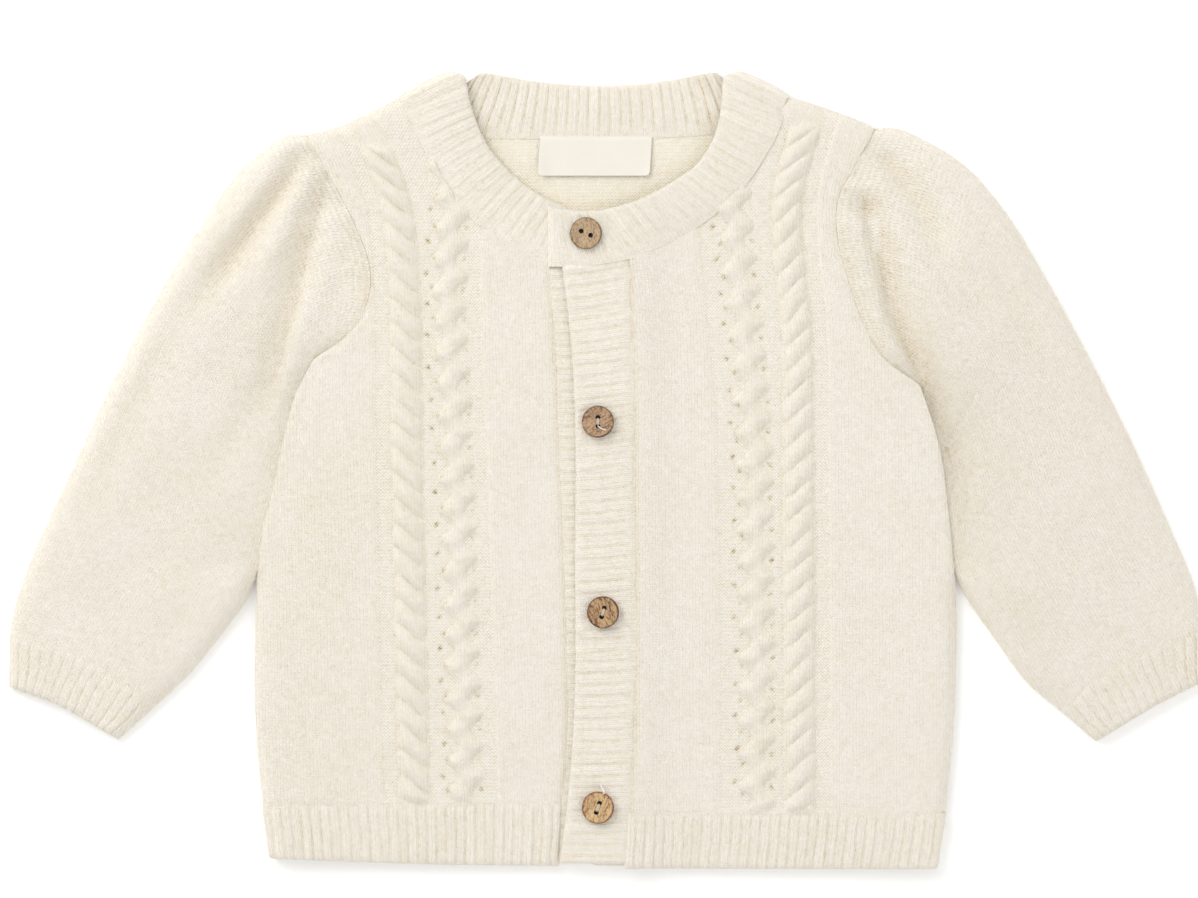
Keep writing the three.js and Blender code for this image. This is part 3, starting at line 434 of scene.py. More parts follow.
dip = line(back_neck_seam, "x")
back_x = spread(body_edge("right", rows_up, 0.9), body_edge("left", rows_up, 0.9), back_columns - 1)
neck_low = np.interp(back_x, [-90, -73.5, 63.6, 80], [150, 132.4, 133.2, 150])
neck_line = np.where((back_x > -73.5) & (back_x < 63.6), dip(back_x) - 0.4, neck_low)
low_end = hem_top["left"] + 0.5
back_y = low_end + (rows_up - low_end) * np.minimum(1.0, (neck_line - low_end) / (139.0 - low_end))
back_x = np.where(
    rows_up > 60,
    np.clip(back_x, body_edge("right", back_y, 0.9), body_edge("left", back_y, 0.9)), back_x)
from_edge = np.minimum(back_x - body_edge("right", back_y), body_edge("left", back_y) - back_x)
back_roll = np.sqrt(np.clip(1 - (1 - np.clip(from_edge / 2.5, 0, 1)) ** 2, 0, 1))
back_upper = 0.9 + (back_top - 0.9) * back_roll
back_under = 0.5 * (1 - back_roll)
under_edge = np.minimum(
    crease(neck_edge["right"], back_x, back_y)[0], crease(neck_edge["left"], back_x, back_y)[0])
back_shade = 0.14 * np.exp(-((under_edge / 7) ** 2))
back_panel = panel(
    "back_panel", back_x, back_y, back_upper, back_under,
    np.stack([back_x, back_y], -1), back_shade, 1.0 + 0 * back_x, step=2,
)
# Painted light: the inside of the back is the same cream wool, given a lighter and warmer copy of it.
back_panel.data.materials.append(wool("inside_wool_painted_lighter", (1.0, 0.96, 0.86), (0.91, 0.81, 0.6)))
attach(back_panel, "root")
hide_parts("back")

# Fronts. Two panels of brushed wool in stocking stitch, each with a twisted rope and a wavy cord
# on a purl ground with small eyelets. They lie over the back, and roll down to it at the side.
placket = {
    "right": [
        (-21.4, 77.3), (-19.6, 50), (-17.8, 13.9), (-15.4, -50), (-14.2, -94.1), (-16.4, -124), (-19.4, -150),
    ],
    "left": [(8.4, 79.6), (9.4, 25.5), (10.1, -34.5), (10.5, -72), (8.6, -117), (6.8, -152)],
}
rope_middle = {
    "right": [
        (-94, 136), (-86.3, 119), (-79.5, 100.5), (-76.9, 81.8),
        (-75.8, 63), (-75, 6.8), (-73.1, -87), (-71.8, -140),
    ],
    "left": [
        (77, 136), (70.9, 116), (67.5, 100.5), (67.7, 85), (69.2, 70.5), (71, 55), (71.8, 6.8), (72.4, -140),
    ],
}
wave_middle = {
    "right": [(-60.4, 112), (-58.1, 96), (-59.2, 82), (-59.4, 63), (-57, 6.8), (-54, -87), (-52.6, -140)],
    "left": [(46.4, 112), (48, 90), (50.6, 63), (54.6, 20), (56.1, -50), (56.4, -140)],
}
ground = {"right": (12.2, 12.0), "left": (11.6, 14.5)}
rope_half, rope_repeat, rope_rise, rope_slant = 5.8, 9.4, 2.7, 0.85
wave_half, wave_rise, wave_swing = 4.6, 2.0, 2.3
wave_repeat = {"right": 11.75, "left": 12.0}
wave_start = {"right": 25.1, "left": 19.0}
rope_start = {"right": 4.0, "left": 2.0}
rope_top = {"right": 122.5, "left": 130.0}
rope_groove = {"right": 0.9, "left": 0.62}
ground_sink = 0.55
front_base = 2.5
carry_on = {"right": [(-113, 60), (-120, 140)], "left": [(116, 60), (110, 140)]}


def front_height(side, x, y):
    """How high the upper side of a front lies over the table, before its pattern."""
    from_side = np.abs(x - line(side_edge[side] + carry_on[side])(y))
    from_shoulder = 0.9 * (line(shoulder[side], "x")(x) - y)
    inset = np.maximum(0, np.minimum(from_side, from_shoulder))
    height = 4.7 + 2.8 * (1 - np.exp(-inset / 3.5)) * np.exp(-inset / 45)
    if side == "left":
        height = height + 2.9 * ease(1 - (x - line(placket[side])(y)) / 18)
    return height


def dots(x, y, places, radius):
    """Round spots, 1 in the middle and 0 outside."""
    mark = 0 * x
    for dot_x, dot_y, strength in places:
        tilt = 0.5 * math.sin(5 * dot_y)
        away = ((x - dot_x - tilt * (y - dot_y)) ** 2 + (0.45 + 0.3 * strength) * (y - dot_y) ** 2) / radius**2
        mark = np.maximum(mark, strength * np.exp(-away**1.2))
    return mark


def eyelets(side):
    """Where the small holes sit beside the wavy cord."""
    places = []
    first = {"right": (31.9, 5.9), "left": (22.9, 6.1)}[side]
    offset = -6.9
    chance = np.random.default_rng(31 if side == "right" else 47)
    for k in range(-16, 27):
        y = first[0] - first[1] * k
        shift = 1.1 * (-1) ** k
        if hem_top[side] + 3 < y < 104:
            x = float(line(wave_middle[side])(y)) + offset + shift
            places.append((x + chance.uniform(-0.5, 0.5), y + chance.uniform(-0.7, 0.7),
                           chance.uniform(0.45, 0.7) + 0.3 * (k % 2)))
    other = {"right": (19.9, 11.75), "left": (12.75, 12.0)}[side]
    for k in range(-8, 14):
        y = other[0] - other[1] * k
        if hem_top[side] + 3 < y < 92:
            x = float(line(wave_middle[side])(y)) + 5.6
            places.append((x + chance.uniform(-0.4, 0.4), y + chance.uniform(-0.6, 0.6),
                           chance.uniform(0.55, 0.9) if side == "left" else chance.uniform(0.3, 0.7)))
    return places


def front_pattern(side, x, y):
    """Relief, purl share and painted shade of the cable pattern."""
    out = -1 if side == "right" else 1
    rope_x, wave_x = line(rope_middle[side])(y), line(wave_middle[side])(y)
    outer = rope_x + out * ground[side][0]
    inner = wave_x - out * ground[side][1]
    inside = np.minimum(out * (outer - x), out * (x - inner))
    purl = ease(inside / 0.9 + 0.5)
    relief = -ground_sink * ease(inside / 3.2 + 0.5)
    relief = relief + 0.04 * np.exp(-((inside + 0.9) / 1.1) ** 2) * (1 + unevenness(x, y, 9, 61))
    # Painted shade: a little over the recessed purl ground, and more along its edges.
    painted_shade = 0.05 * purl + 0.07 * np.exp(-((inside - 0.6) / 0.6) ** 2)

    sway = unevenness(x, y, 24, 63 if side == "right" else 64)
    p = (x - rope_x - 0.35 * sway) / (rope_half * (1 + 0.06 * unevenness(y, y, 13, 65)))
    turn = rope_slant * rope_half * (1.15 * p - 0.3 * p**3)
    lobe_place = (y - out * turn - rope_start[side] + 0.9 * sway) / rope_repeat
    from_groove = 1 - np.abs(2 * (lobe_place % 1) - 1)
    lobe = (1 - (1 - from_groove) ** 2) ** 0.85
    dome = np.clip(1 - p**2, 0, 1) ** 0.7
    on_rope = (np.abs(p) < 1) * ease((rope_top[side] - y) / 5)
    relief = relief + on_rope * rope_rise * dome * (1 - rope_groove[side] * (1 - lobe))
    # How strong the painted shade of the rope and the cord is: uneven at random, and weaker towards the rope's
    # top.
    uneven_shade = (0.6 + 0.4 * unevenness(x, y, 7, 62)) * (0.3 + 0.7 * ease((rope_top[side] - y) / 5))
    # Painted shade in the rope's grooves and along its edges.
    painted_shade = painted_shade + on_rope * 0.2 * uneven_shade * np.exp(-((from_groove / 0.22) ** 2)) * (0.25 + 0.75 * p**2)
    painted_shade = painted_shade + 0.16 * uneven_shade * np.exp(-(((np.abs(p) - 1.04) / 0.14) ** 2))

    swing = np.cos(2 * math.pi * (y - wave_start[side] + 0.8 * sway) / wave_repeat[side])
    q = (x - wave_x - wave_swing * swing * (1 + 0.15 * sway)) / wave_half
    cord = np.clip(1 - q**2, 0, 1) ** 0.75
    relief = relief + wave_rise * cord * (0.72 + 0.28 * swing**2)
    # Painted shade along the edges of the wavy cord.
    painted_shade = painted_shade + 0.14 * uneven_shade * np.exp(-(((np.abs(q) - 1.05) / 0.2) ** 2))
    # The eyelets are shallow pits. Their dark brown is painted shade, standing for the shade inside a hole.
    holes = dots(x, y, eyelets(side), 0.85)
    relief = relief - 0.6 * holes
    painted_shade = np.minimum(painted_shade, 0.4) + 0.7 * holes
    return relief, np.where((np.abs(p) < 1) | (np.abs(q) < 1), 0.0, purl), painted_shade


def front_panel(side):
    out = -1 if side == "right" else 1
    low, high = hem_top[side] + 0.15, 138.8
    y = np.linspace(low, high, 481)[:, None]
    y[1] = y[0] + 0.15
    outer = body_edge(side, y)
    foot = neck_seam[side][-1][1]
    neck_top = (-77.2, 139.4) if side == "right" else (66.6, 139.6)
    inner = np.where(y < foot, line(placket[side])(y), line(neck_seam[side] + [neck_top])(y))
    slack = np.minimum(1.5, 0.2 * np.abs(inner - outer))
    ground_outer = line(rope_middle[side])(y) + out * (ground[side][0] + 1.5)
    ground_inner = line(wave_middle[side])(y) - out * (ground[side][1] + 1.5)
    low_x, high_x = np.minimum(outer, inner) + slack, np.maximum(outer, inner) - slack
    ground_outer = np.clip(ground_outer, low_x, high_x)
    ground_inner = np.clip(ground_inner, low_x, high_x)
    steps = (30, 80, 20)
    x = np.concatenate([
        spread(outer, ground_outer, steps[0])[:, :-1],
        spread(ground_outer, ground_inner, steps[1])[:, :-1],
        spread(ground_inner, inner, steps[2]),
    ], axis=1)
    for edge, beside in ((0, 1), (-1, -2)):
        x[:, beside] = x[:, edge] + 0.15 * (x[:, beside] - x[:, edge])
    y = y + 0 * x

    def away(edge):
        slope = np.gradient(edge[:, 0], y[:, 0])[:, None]
        return np.abs(x - edge) / np.sqrt(1 + np.clip(slope, -4, 4) ** 2)

    from_outer, from_inner = away(outer), away(inner)
    relief, purl, painted_shade = front_pattern(side, x, y)
    arm_foot, arm_top = armhole[side][0][1], armhole[side][-1][1]
    at_arm = ease((y - arm_foot + 4) / 8) * ease((arm_top + 1 - y) / 4)
    height = front_height(side, x, y) + 0.28 * unevenness(x, y, 42, 5 if side == "right" else 8)
    above_hem = ease((y - low) / 3.5)
    relief, painted_shade = relief * above_hem, painted_shade * (0.3 + 0.7 * above_hem)
    height = height + relief
    rolled = rounded(from_outer, 3.4)
    over_sleeve = ease((y + 50) / 14) * ease((arm_foot + 6 - y) / 8)
    beside_sleeve = np.maximum(at_arm, 0.9 * over_sleeve)
    top = front_base + 0.1 + (height - front_base - 0.1) * (rolled + (1 - rolled) * beside_sleeve)
    top = top - 0.35 * at_arm * np.exp(-((from_outer / 1.6) ** 2))
    top = top + 1.7 * over_sleeve * np.exp(-((from_outer / 2.6) ** 2))
    at_band = ease((foot - y) / 6)
    top = top - (0.15 + 0.4 * at_band) * np.exp(-((from_inner / 1.2) ** 2))
    top = top - 0.3 * np.exp(-(((y - low) / 0.9) ** 2))
    top = np.maximum(top, front_base + 0.1)
    # Painted shade along the seam to the bands, strongest where the button band's edge lies over the under
    # band, and along the outer edge beside the sleeve.
    painted_shade = painted_shade + (0.02 + 0.26 * at_band) * np.exp(-((from_inner / 0.8) ** 2))
    painted_shade = painted_shade + 0.07 * beside_sleeve * np.exp(-((from_outer / 2.5) ** 2))
    # Painted shade in the shallow valley of the right front's side panel.
    if side == "right":
        painted_shade = painted_shade + 0.09 * np.exp(-(((from_outer - 22) / 20) ** 2)) * ease((40 - y) / 50)
    under = np.maximum(front_base - 0.2, np.minimum(top - 0.3, height - relief - 2.0))
    wales = x - line(rope_middle[side])(y)
    return panel(f"front_panel_{side}", x, y, top, under, np.stack([wales, y], -1), painted_shade, purl)


front_cut = {"right": ((0.1183, 0.2655), 0.0239), "left": ((0.1237, 0.2688), 0.0259)}
fronts = {side: front_panel(side) for side in ("right", "left")}
for side, cloth in fronts.items():
    cloth.data.materials.append(cream_wool)
    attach(cloth, "root")
    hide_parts(f"front_{side}")
    cut, area = front_cut[side]

# Button band and the band under it. Ribbed strips, knitted sideways and sewn to the edges of the
# fronts: the one with the buttons belongs to the wearer's left and lies over the other.
band_edge = [
    (-16.8, 76.4), (-13.9, 53.6), (-12, 25.5), (-11.8, -34.5), (-12, -87), (-13.9, -117), (-17.6, -148.3),
]
band_bottom = -148.3
under_band_middle = front_base + 1.0
button_band_middle = 6.4


def through(points, t):
    """Places on a smooth path through points in space; t runs from 0 to 1."""
    p = np.asarray(points, float)
    count = len(p) - 1
    p = np.vstack([2 * p[0] - p[1], p, 2 * p[-1] - p[-2]])
    k = np.clip((np.asarray(t) * count).astype(int), 0, count - 1)
    w = (np.asarray(t) * count - k)[:, None]
    a, b, c, d = p[k], p[k + 1], p[k + 2], p[k + 3]
    before, here, after = (
        np.sqrt(np.linalg.norm(second - first, axis=1))[:, None] for first, second in ((a, b), (b, c), (c, d)))
    start = ((b - a) / before - (c - a) / (before + here) + (c - b) / here) * here
    finish = ((c - b) / here - (d - b) / (here + after) + (d - c) / after) * here
    return b + start * w + (3 * (c - b) - 2 * start - finish) * w**2 + (2 * (b - c) + start + finish) * w**3


def ribbed_strip(name, seam, free, pitch, rise, seed, thick=2.0, crown=0.0, lines=20,
                 seam_plain=2.0, free_plain=1.2, sunk=0.7, rounding=1.6, end_plain=0.0,
                 clear=None, shade=None):
    """A ribbed strip between its seam and its free edge. The ribs run across it, rounded, with
    narrow grooves between them, over both edges and down the side that looks up."""
    t = np.linspace(0, 1, 2400)
    middle = (through(seam, t) + through(free, t)) / 2
    reached = np.concatenate([[0], np.cumsum(np.linalg.norm(np.diff(middle, axis=0), axis=1))])
    length = reached[-1]
    count = 11 * round(length / pitch)
    distance = np.linspace(0, length, count + 1)
    at = np.interp(distance, reached, t)
    start, end = through(seam, at), through(free, at)
    ahead = np.gradient((start + end) / 2, axis=0)
    across = end - start
    width = np.linalg.norm(across, axis=1)[:, None]
    up = unit(np.cross(across, ahead))
    facing = ease((up[:, 2:] + 0.5) / 0.5)
    chance = np.random.default_rng(seed)
    ribs = round(length / pitch)
    sway = np.interp(distance, np.linspace(0, length, 2 * ribs), chance.normal(0, 0.2, 2 * ribs))[:, None]
    taller = np.interp(distance, np.linspace(0, length, ribs), chance.uniform(0.8, 1.08, ribs))[:, None]
    flat = np.linspace(-0.4 / 20, 0.9, lines)
    corner = np.linspace(90, -90, 9)[1:]
    below = np.linspace(0.9, -0.4 / 20, 5)
    share = np.concatenate([flat, 0.9 + 0 * corner, below[1:]])[None, :]
    bend = np.concatenate([np.full(lines, 90.0), corner, np.full(4, -90.0)])[None, :] * math.pi / 180
    place = distance[:, None] + sway * (0.4 + share) + 0.12 * np.sin(9 * share + 3 * sway)
    groove = np.abs(2 * ((place / pitch) % 1) - 1)
    reach = share * width + np.cos(bend) * 0.1 * width
    ribbed = ease(reach / seam_plain) * (0.2 + 0.8 * ease((width * 1.04 - reach) / free_plain))
    edge = np.minimum(distance, length - distance)[:, None]
    if end_plain:
        ribbed = ribbed * (0.15 + 0.85 * ease(edge / end_plain - 0.3))
    broken = 0.75 + 0.25 * unevenness(place, reach, 5.0, seed + 50)
    if clear:
        ribbed = ribbed * clear((start + end)[:, 2:] / 2)
    rib = taller * (1 - groove**4 * ribbed - 0.14 * np.exp(-((groove / 0.2) ** 2)) * ribbed)
    ends = rounded(edge, rounding, 0.02)
    plump = crown * np.sin(math.pi * np.clip(share * 1.05, 0, 1))
    tuck = np.exp(-((share * width / 1.0) ** 2))
    upper = (thick / 2 + plump + facing * rise * rib - sunk * facing * tuck) * ends
    lower = (thick / 2 + plump + (1 - facing) * rise * rib - sunk * (1 - facing) * tuck) * ends
    lift = np.where(bend > 0, upper * np.sin(bend), lower * np.sin(bend))
    reach = reach + np.cos(bend) * 0.2 * rib
    points = (start[:, None, :] + (across / width)[:, None, :] * reach[:, :, None]
              + up[:, None, :] * lift[:, :, None])
    points[..., 2] = np.maximum(points[..., 2], 0.05)
    rings, around = points.shape[:2]
    ids = np.arange(rings * around).reshape(rings, around)
    faces = quads(ringed(ids)) + [tuple(ids[0]), tuple(ids[-1][::-1])]
    knit = np.stack([place * 3.75 / pitch + 0.625 + 0 * share, reach], -1)
    # Painted shade: a little all over, and more in the grooves between the ribs and in the tuck at the seam.
    painted_shade = 0.02 + 0.31 * broken * ribbed * np.exp(-(((1 - groove) / 0.2) ** 2)) + 0.11 * sunk * tuck
    if shade:
        painted_shade = painted_shade + shade(points[..., 0], points[..., 1], points[..., 2])
    return cloth_mesh(name, points.reshape(-1, 3), faces, knit.reshape(-1, 2), painted_shade.ravel(),
                      0.0 * painted_shade.ravel())


def down_edge(edge, top, bottom, shift, z):
    """Places down the edge of a front, moved sideways by the shift."""
    y = np.linspace(top, bottom, 9)
    return np.stack([line(edge)(y) + shift, y, 0 * y + z], -1)


button_band = ribbed_strip(
    "button_band_rib",
    down_edge(placket["left"], 79.6, band_bottom, 0, button_band_middle),
    down_edge(band_edge, 76.0, band_bottom, 0, button_band_middle),
    pitch=4.3, rise=0.45, seed=3, lines=20, seam_plain=4.5, free_plain=4.5,
)
under_band = ribbed_strip(
    "under_band_rib",
    down_edge(placket["right"], 76.4, band_bottom + 0.7, 0, under_band_middle)[::-1],
    down_edge(placket["left"], 76.6, band_bottom + 0.7, -2, under_band_middle)[::-1],
    pitch=4.3, rise=0.5, seed=4, lines=10,
)
for node, band, cut, area, beneath in (
        ("button_band", button_band, (0.0233, 0.2276), 0.0052, "under_band_rib"),
        ("under_band", under_band, (0.0255, 0.2242), 0.0056, "back_panel")):
    band.data.materials.append(cream_wool)
    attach(band, "root")
    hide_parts(node)

# Neckband. One ribbed strip, folded double and sewn round the neck. It runs down both fronts to
# the bands, and at the shoulders it turns over, so that its inner side shows across the back.
back_neck_edge = [
    (-53.6, 147.2), (-47.6, 148.2), (-40.1, 147.4), (-28.9, 145.5), (-14.6, 144), (0, 143.6),
    (14.3, 144.4), (27.4, 146.2), (35.6, 147.9), (41.6, 148.2), (45, 147.4),
]
neck_level = {
    "right": [5.5, 5.3, 5.0, 4.7, 4.5, 4.2, 3.9, under_band_middle],
    "left": [5.5, 5.5, 5.5, 5.6, 5.8, 6.2, 6.6, button_band_middle + 0.3],
}


def even(points, share):
    """Places at even distances along a smooth path."""
    t = np.linspace(0, 1, 1600)
    path = through(points, t)
    reached = np.concatenate([[0], np.cumsum(np.linalg.norm(np.diff(path, axis=0), axis=1))])
    at = np.interp(np.asarray(share) * reached[-1], reached, t)
    return through(points, at)


def turned_over(seam_at, free_at, out):
    """The fold at a shoulder: the strip goes up and over from the back to the front."""
    rows = []
    for degrees in (-1, 0, 45, 90, 135, 180, 181):
        angle = math.radians(min(max(degrees, 0), 180))
        shift = 2.3 * math.sin(angle) - (3 if degrees in (-1, 181) else 0)
        z = 1 + 2.3 * (1 + math.cos(angle))
        drawn_in = 0.12 * math.sin(angle) * np.subtract(seam_at, free_at)
        sewn = 1 + 1.8 * (1 + math.cos(angle))
        rows.append([(*(np.add(seam_at, np.multiply(out, shift))), sewn),
                     (*(np.add(free_at, np.multiply(out, shift)) + drawn_in), z)])
    return rows


def down_front(side):
    """Rows of the neckband from a shoulder down to the bands."""
    share = np.linspace(0, 1, 15)
    seam, free = even(neck_seam[side], share), even(neck_edge[side], share)
    level = np.interp(share, np.linspace(0, 1, 8), neck_level[side])
    sewn = np.minimum(level, front_height(side, seam[:, 0], seam[:, 1]) - 1.4)
    seam = seam + 0.8 * unit(seam - free)
    return [[(*a, low), (*b, z)] for a, b, low, z in zip(seam, free, sewn, level)][1:]


def neck_shade(x, y, z):
    """Less light reaches the back of the neckband close to its folds."""
    near = [np.exp(-(((x - fold_x) / 9) ** 2) - ((y - 136) / 13) ** 2) for fold_x in (-50.5, 41.5)]
    return 0.24 * (near[0] + near[1]) * ease((3.4 - z) / 1.0)


over = button_band_middle + 0.3
neck_rows = [[(1.6, 77.3, under_band_middle), (2.4, 95.5, under_band_middle)]]
neck_rows += down_front("right")[::-1]
neck_rows += turned_over((-76.0, 136.9), (-54.2, 147.5), (-0.42, 0.9))
neck_rows += [[(*a, 1.0), (*b, 1.0)] for a, b in zip(back_neck_seam[1:-1], back_neck_edge[1:-1])]
neck_rows += turned_over((66.3, 137.3), (44.9, 147.3), (0.39, 0.92))[::-1]
neck_rows += down_front("left")
neck_rows += [[(-6.6, 76.3, over), (-12.4, 96.4, over)],
              [(-22.1, 75.9, over - 1.5), (-22.1, 97.9, over - 0.9)]]
neckband = ribbed_strip(
    "neckband_rib", [row[0] for row in neck_rows], [row[1] for row in neck_rows],
    pitch=4.0, rise=0.6, crown=0.65, seed=6, lines=22, seam_plain=6.0, free_plain=2.8, sunk=0.25,
    rounding=5.0, end_plain=8.0,
    clear=lambda z: 1.25 - 0.55 * ease((z - 1.6) / 1.5), shade=neck_shade,
)
neckband.data.materials.append(cream_wool)
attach(neckband, "root")
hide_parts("neckband")

# Hems. A deep rib at the foot of the body: one strip under each front, and a third under the
# back, which is flat where it rests on the table.
hem_edge = {
    "right": [(-127, -146.6), (-66, -148.7), (-17, -149.4)],
    "left": [(5, -150.2), (60, -150.4), (124, -150.4)],
}


def front_hem(side):
    low = hem_top[side]
    side_x = float(line(side_edge[side])(low))
    band_x = float(line(placket[side])(low - 10)) + (1.2 if side == "right" else 0.1)
    ends = (side_x, band_x) if side == "right" else (band_x, side_x)
    tuck = (2.6, -1.3) if side == "right" else (-0.9, -3.2)
    share = np.array([0, 0.01, 0.025, 0.05, 0.1, 0.2, 0.3, 0.5, 0.7, 0.8, 0.9, 0.95, 0.975, 0.99, 1])
    x = ends[0] + (ends[1] - ends[0]) * share
    z = front_height(side, x, low + 0 * x) - 1.2
    roll = rounded(np.abs(x - side_x), 4)
    z = 2.9 + (np.maximum(z, front_base + 1.0) - 2.9) * roll
    seam = np.stack([x, low + 0 * x + 0.4, z], -1)
    lower = line(hem_edge[side], "x")(x)
    free = np.stack([x + tuck[0] + (tuck[1] - tuck[0]) * share, lower, z], -1)
    return ribbed_strip(f"hem_rib_{side}", seam, free, pitch=3.6, rise=0.55,
                        seed=11 if side == "right" else 12)


hems = {f"hem_{side}": front_hem(side) for side in ("right", "left")}
low_x = np.linspace(-126.4, 124.6, 120)
hem_middle = 0 * low_x + 1.05
hem_seam = np.stack([low_x * 1.024, 0 * low_x + hem_top["left"] + 0.4, hem_middle], -1)
hem_foot = [line(hem_edge[side], "x")(low_x) for side in ("right", "left")]
hem_free = np.stack([low_x, np.where(low_x < -6, *hem_foot) + 0.8, hem_middle], -1)
hems["hem_back"] = ribbed_strip("hem_rib_back", hem_seam, hem_free, pitch=3.6, rise=0.15, thick=1.9,
                                seed=13, lines=8)
hem_cut = {
    "hem_right": ((0.1105, 0.0225), 0.00246, ["hem_rib_back"]),
    "hem_left": ((0.1206, 0.0213), 0.00251, ["hem_rib_back"]),
    "hem_back": ((0.2571, 0.0204), 0.00492, []),
}
for name, strip in hems.items():
    strip.data.materials.append(cream_wool)
    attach(strip, "root")
    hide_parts(name)
    cut, area, beneath = hem_cut[name]

# Sleeves. Tubes of plain knitting, pressed flat, wide at the head where the cloth is pleated into
# the armhole seam, and narrower at the wrist. The body's side edge lies over their inner edge.
sleeve_outer = {
    "right": [
        (-113.3, 125.3), (-118.9, 125.2), (-126.4, 121.5), (-133.9, 115.5), (-141.4, 107.3), (-156.4, 85.1),
        (-171.4, 59.6), (-186.4, 30.8), (-201.4, -1.5), (-216.4, -34.5), (-222.9, -54), (-224.3, -63),
    ],
    "left": [
        (101.3, 127.8), (107.5, 127.8), (121.1, 122.3), (136.1, 112.1), (151.1, 94.1), (166.1, 69),
        (181.1, 41.6), (196.1, 12), (211.1, -21.4), (220.5, -43.9), (224.4, -60),
    ],
}
sleeve_inner = {
    "right": [
        (-110, 41), (-117.2, 28.4), (-121.7, 12.2), (-126.2, -8.4), (-130, -23.8),
        (-132.4, -40.5), (-135.6, -49.9), (-141.4, -58.1), (-156.4, -76.9), (-170.6, -90.4),
    ],
    "left": [
        (118, 30.6), (125.5, 6.8), (128.5, -14), (130.6, -34.5),
        (133.9, -46.6), (143.6, -61.1), (158.6, -81.4), (170.3, -91),
    ],
}
cuff_seam = {
    "right": [(-224.3, -63), (-209.6, -66.2), (-193.9, -72.4), (-180, -81), (-170.6, -90.4)],
    "left": [(224.4, -60), (208.5, -65.8), (192, -74.4), (181, -80.8), (170.3, -91)],
}
cuff_edge = {
    "right": [(-224.7, -82.4), (-207, -88.6), (-183.6, -102)],
    "left": [(224.7, -79.8), (206, -89.4), (183.8, -102.8)],
}
# Each fold: how deep (or, below 0, how high), how wide, how sharp its start, how much wider its outer
# flank is than its inner one, and where it runs
folds = {
    "right": [
        (3.8, 4.8, 0.12, 0.0, [(-112, 120), (-121, 107), (-134, 88), (-147, 70), (-158, 52)]),
        (3.8, 4.8, 0.12, 0.45, [(-104, 113), (-108, 97), (-113, 80), (-118, 58), (-126, 30), (-131, 4)]),
        (-1.5, 4.4, 0.12, 0.0, [(-109.5, 112.5), (-117.4, 98.3), (-127.1, 76.5), (-133, 58)]),
        (-0.9, 3.6, 0.12, 0.0, [(-98.5, 97), (-103, 80), (-108, 62), (-113, 48)]),
        (-1.0, 5.0, 0.2, 0.0, [(-121, 117), (-137, 96), (-151, 70)]),
        (0.9, 6.0, 0.2, 0.0, [(-121, 40), (-140, 12), (-160, -22)]),
        (0.9, 6.0, 0.3, 0.0, [(-150, 75), (-168, 40), (-184, 6), (-196, -24)]),
        (0.6, 7.0, 0.3, 0.0, [(-136, -20), (-156, -48), (-174, -72)]),
        (-0.6, 8.0, 0.3, 0.0, [(-170, 20), (-188, -20), (-200, -50)]),
    ],
    "left": [
        (3.0, 4.2, 0.12, 0.0, [(101, 120), (110, 110), (118, 99), (124, 86), (128, 72)]),
        (4.6, 5.2, 0.1, 0.6, [(94, 108), (98.5, 92), (102.5, 76), (107, 57), (117, 36), (127, 12),
                              (133, -22), (137, -50)]),
        (-1.6, 4.4, 0.12, 0.0, [(99, 112), (106, 96), (112, 78), (119, 58)]),
        (-1.6, 3.4, 0.15, 0.0, [(91, 96), (94, 78), (99, 60), (107, 43), (115, 31)]),
        (-0.9, 5.0, 0.2, 0.0, [(112, 119), (130, 100), (144, 74)]),
        (0.9, 6.0, 0.2, 0.0, [(133, 30), (148, 2), (163, -30)]),
        (0.8, 5.0, 0.3, 0.0, [(140, 84), (158, 52), (172, 22)]),
        (0.8, 7.0, 0.3, 0.0, [(134, -26), (154, -56), (172, -76)]),
        (-0.6, 8.0, 0.3, 0.0, [(168, 28), (186, -14), (200, -46)]),
    ],
}
tube_edge = 2.2
sleeve_length = 190


def between(start, end, first, second, u, v, hold=1, lead=0.0):
    """A smooth patch of cloth between four edges. A larger hold lets the shape of the first edge
    die out sooner, and a lead lets the rows get on faster along one side."""
    s, e = even(start, u.ravel()), even(end, u.ravel())
    a, b = even(first, v.ravel() * (1 + lead * (1 - v.ravel()) ** 2)), even(second, v.ravel())
    s, e = s[None, :, :], e[None, :, :]
    a, b = a[:, None, :], b[:, None, :]
    up, vp = u.ravel()[None, :, None], v.ravel()[:, None, None]
    c = [np.array(p, float) for p in (start[0], start[-1], end[0], end[-1])]
    corners = (c[0] * (1 - up) + c[1] * up) * (1 - vp) + (c[2] * (1 - up) + c[3] * up) * vp
    chord = c[0] * (1 - up) + c[1] * up
    flat = chord * (1 - vp) + (s - chord) * (1 - vp) ** hold + e * vp + a * (1 - up) + b * up - corners
    return flat[..., 0], flat[..., 1], np.linalg.norm(a - b, axis=2) + 0 * flat[..., 0]


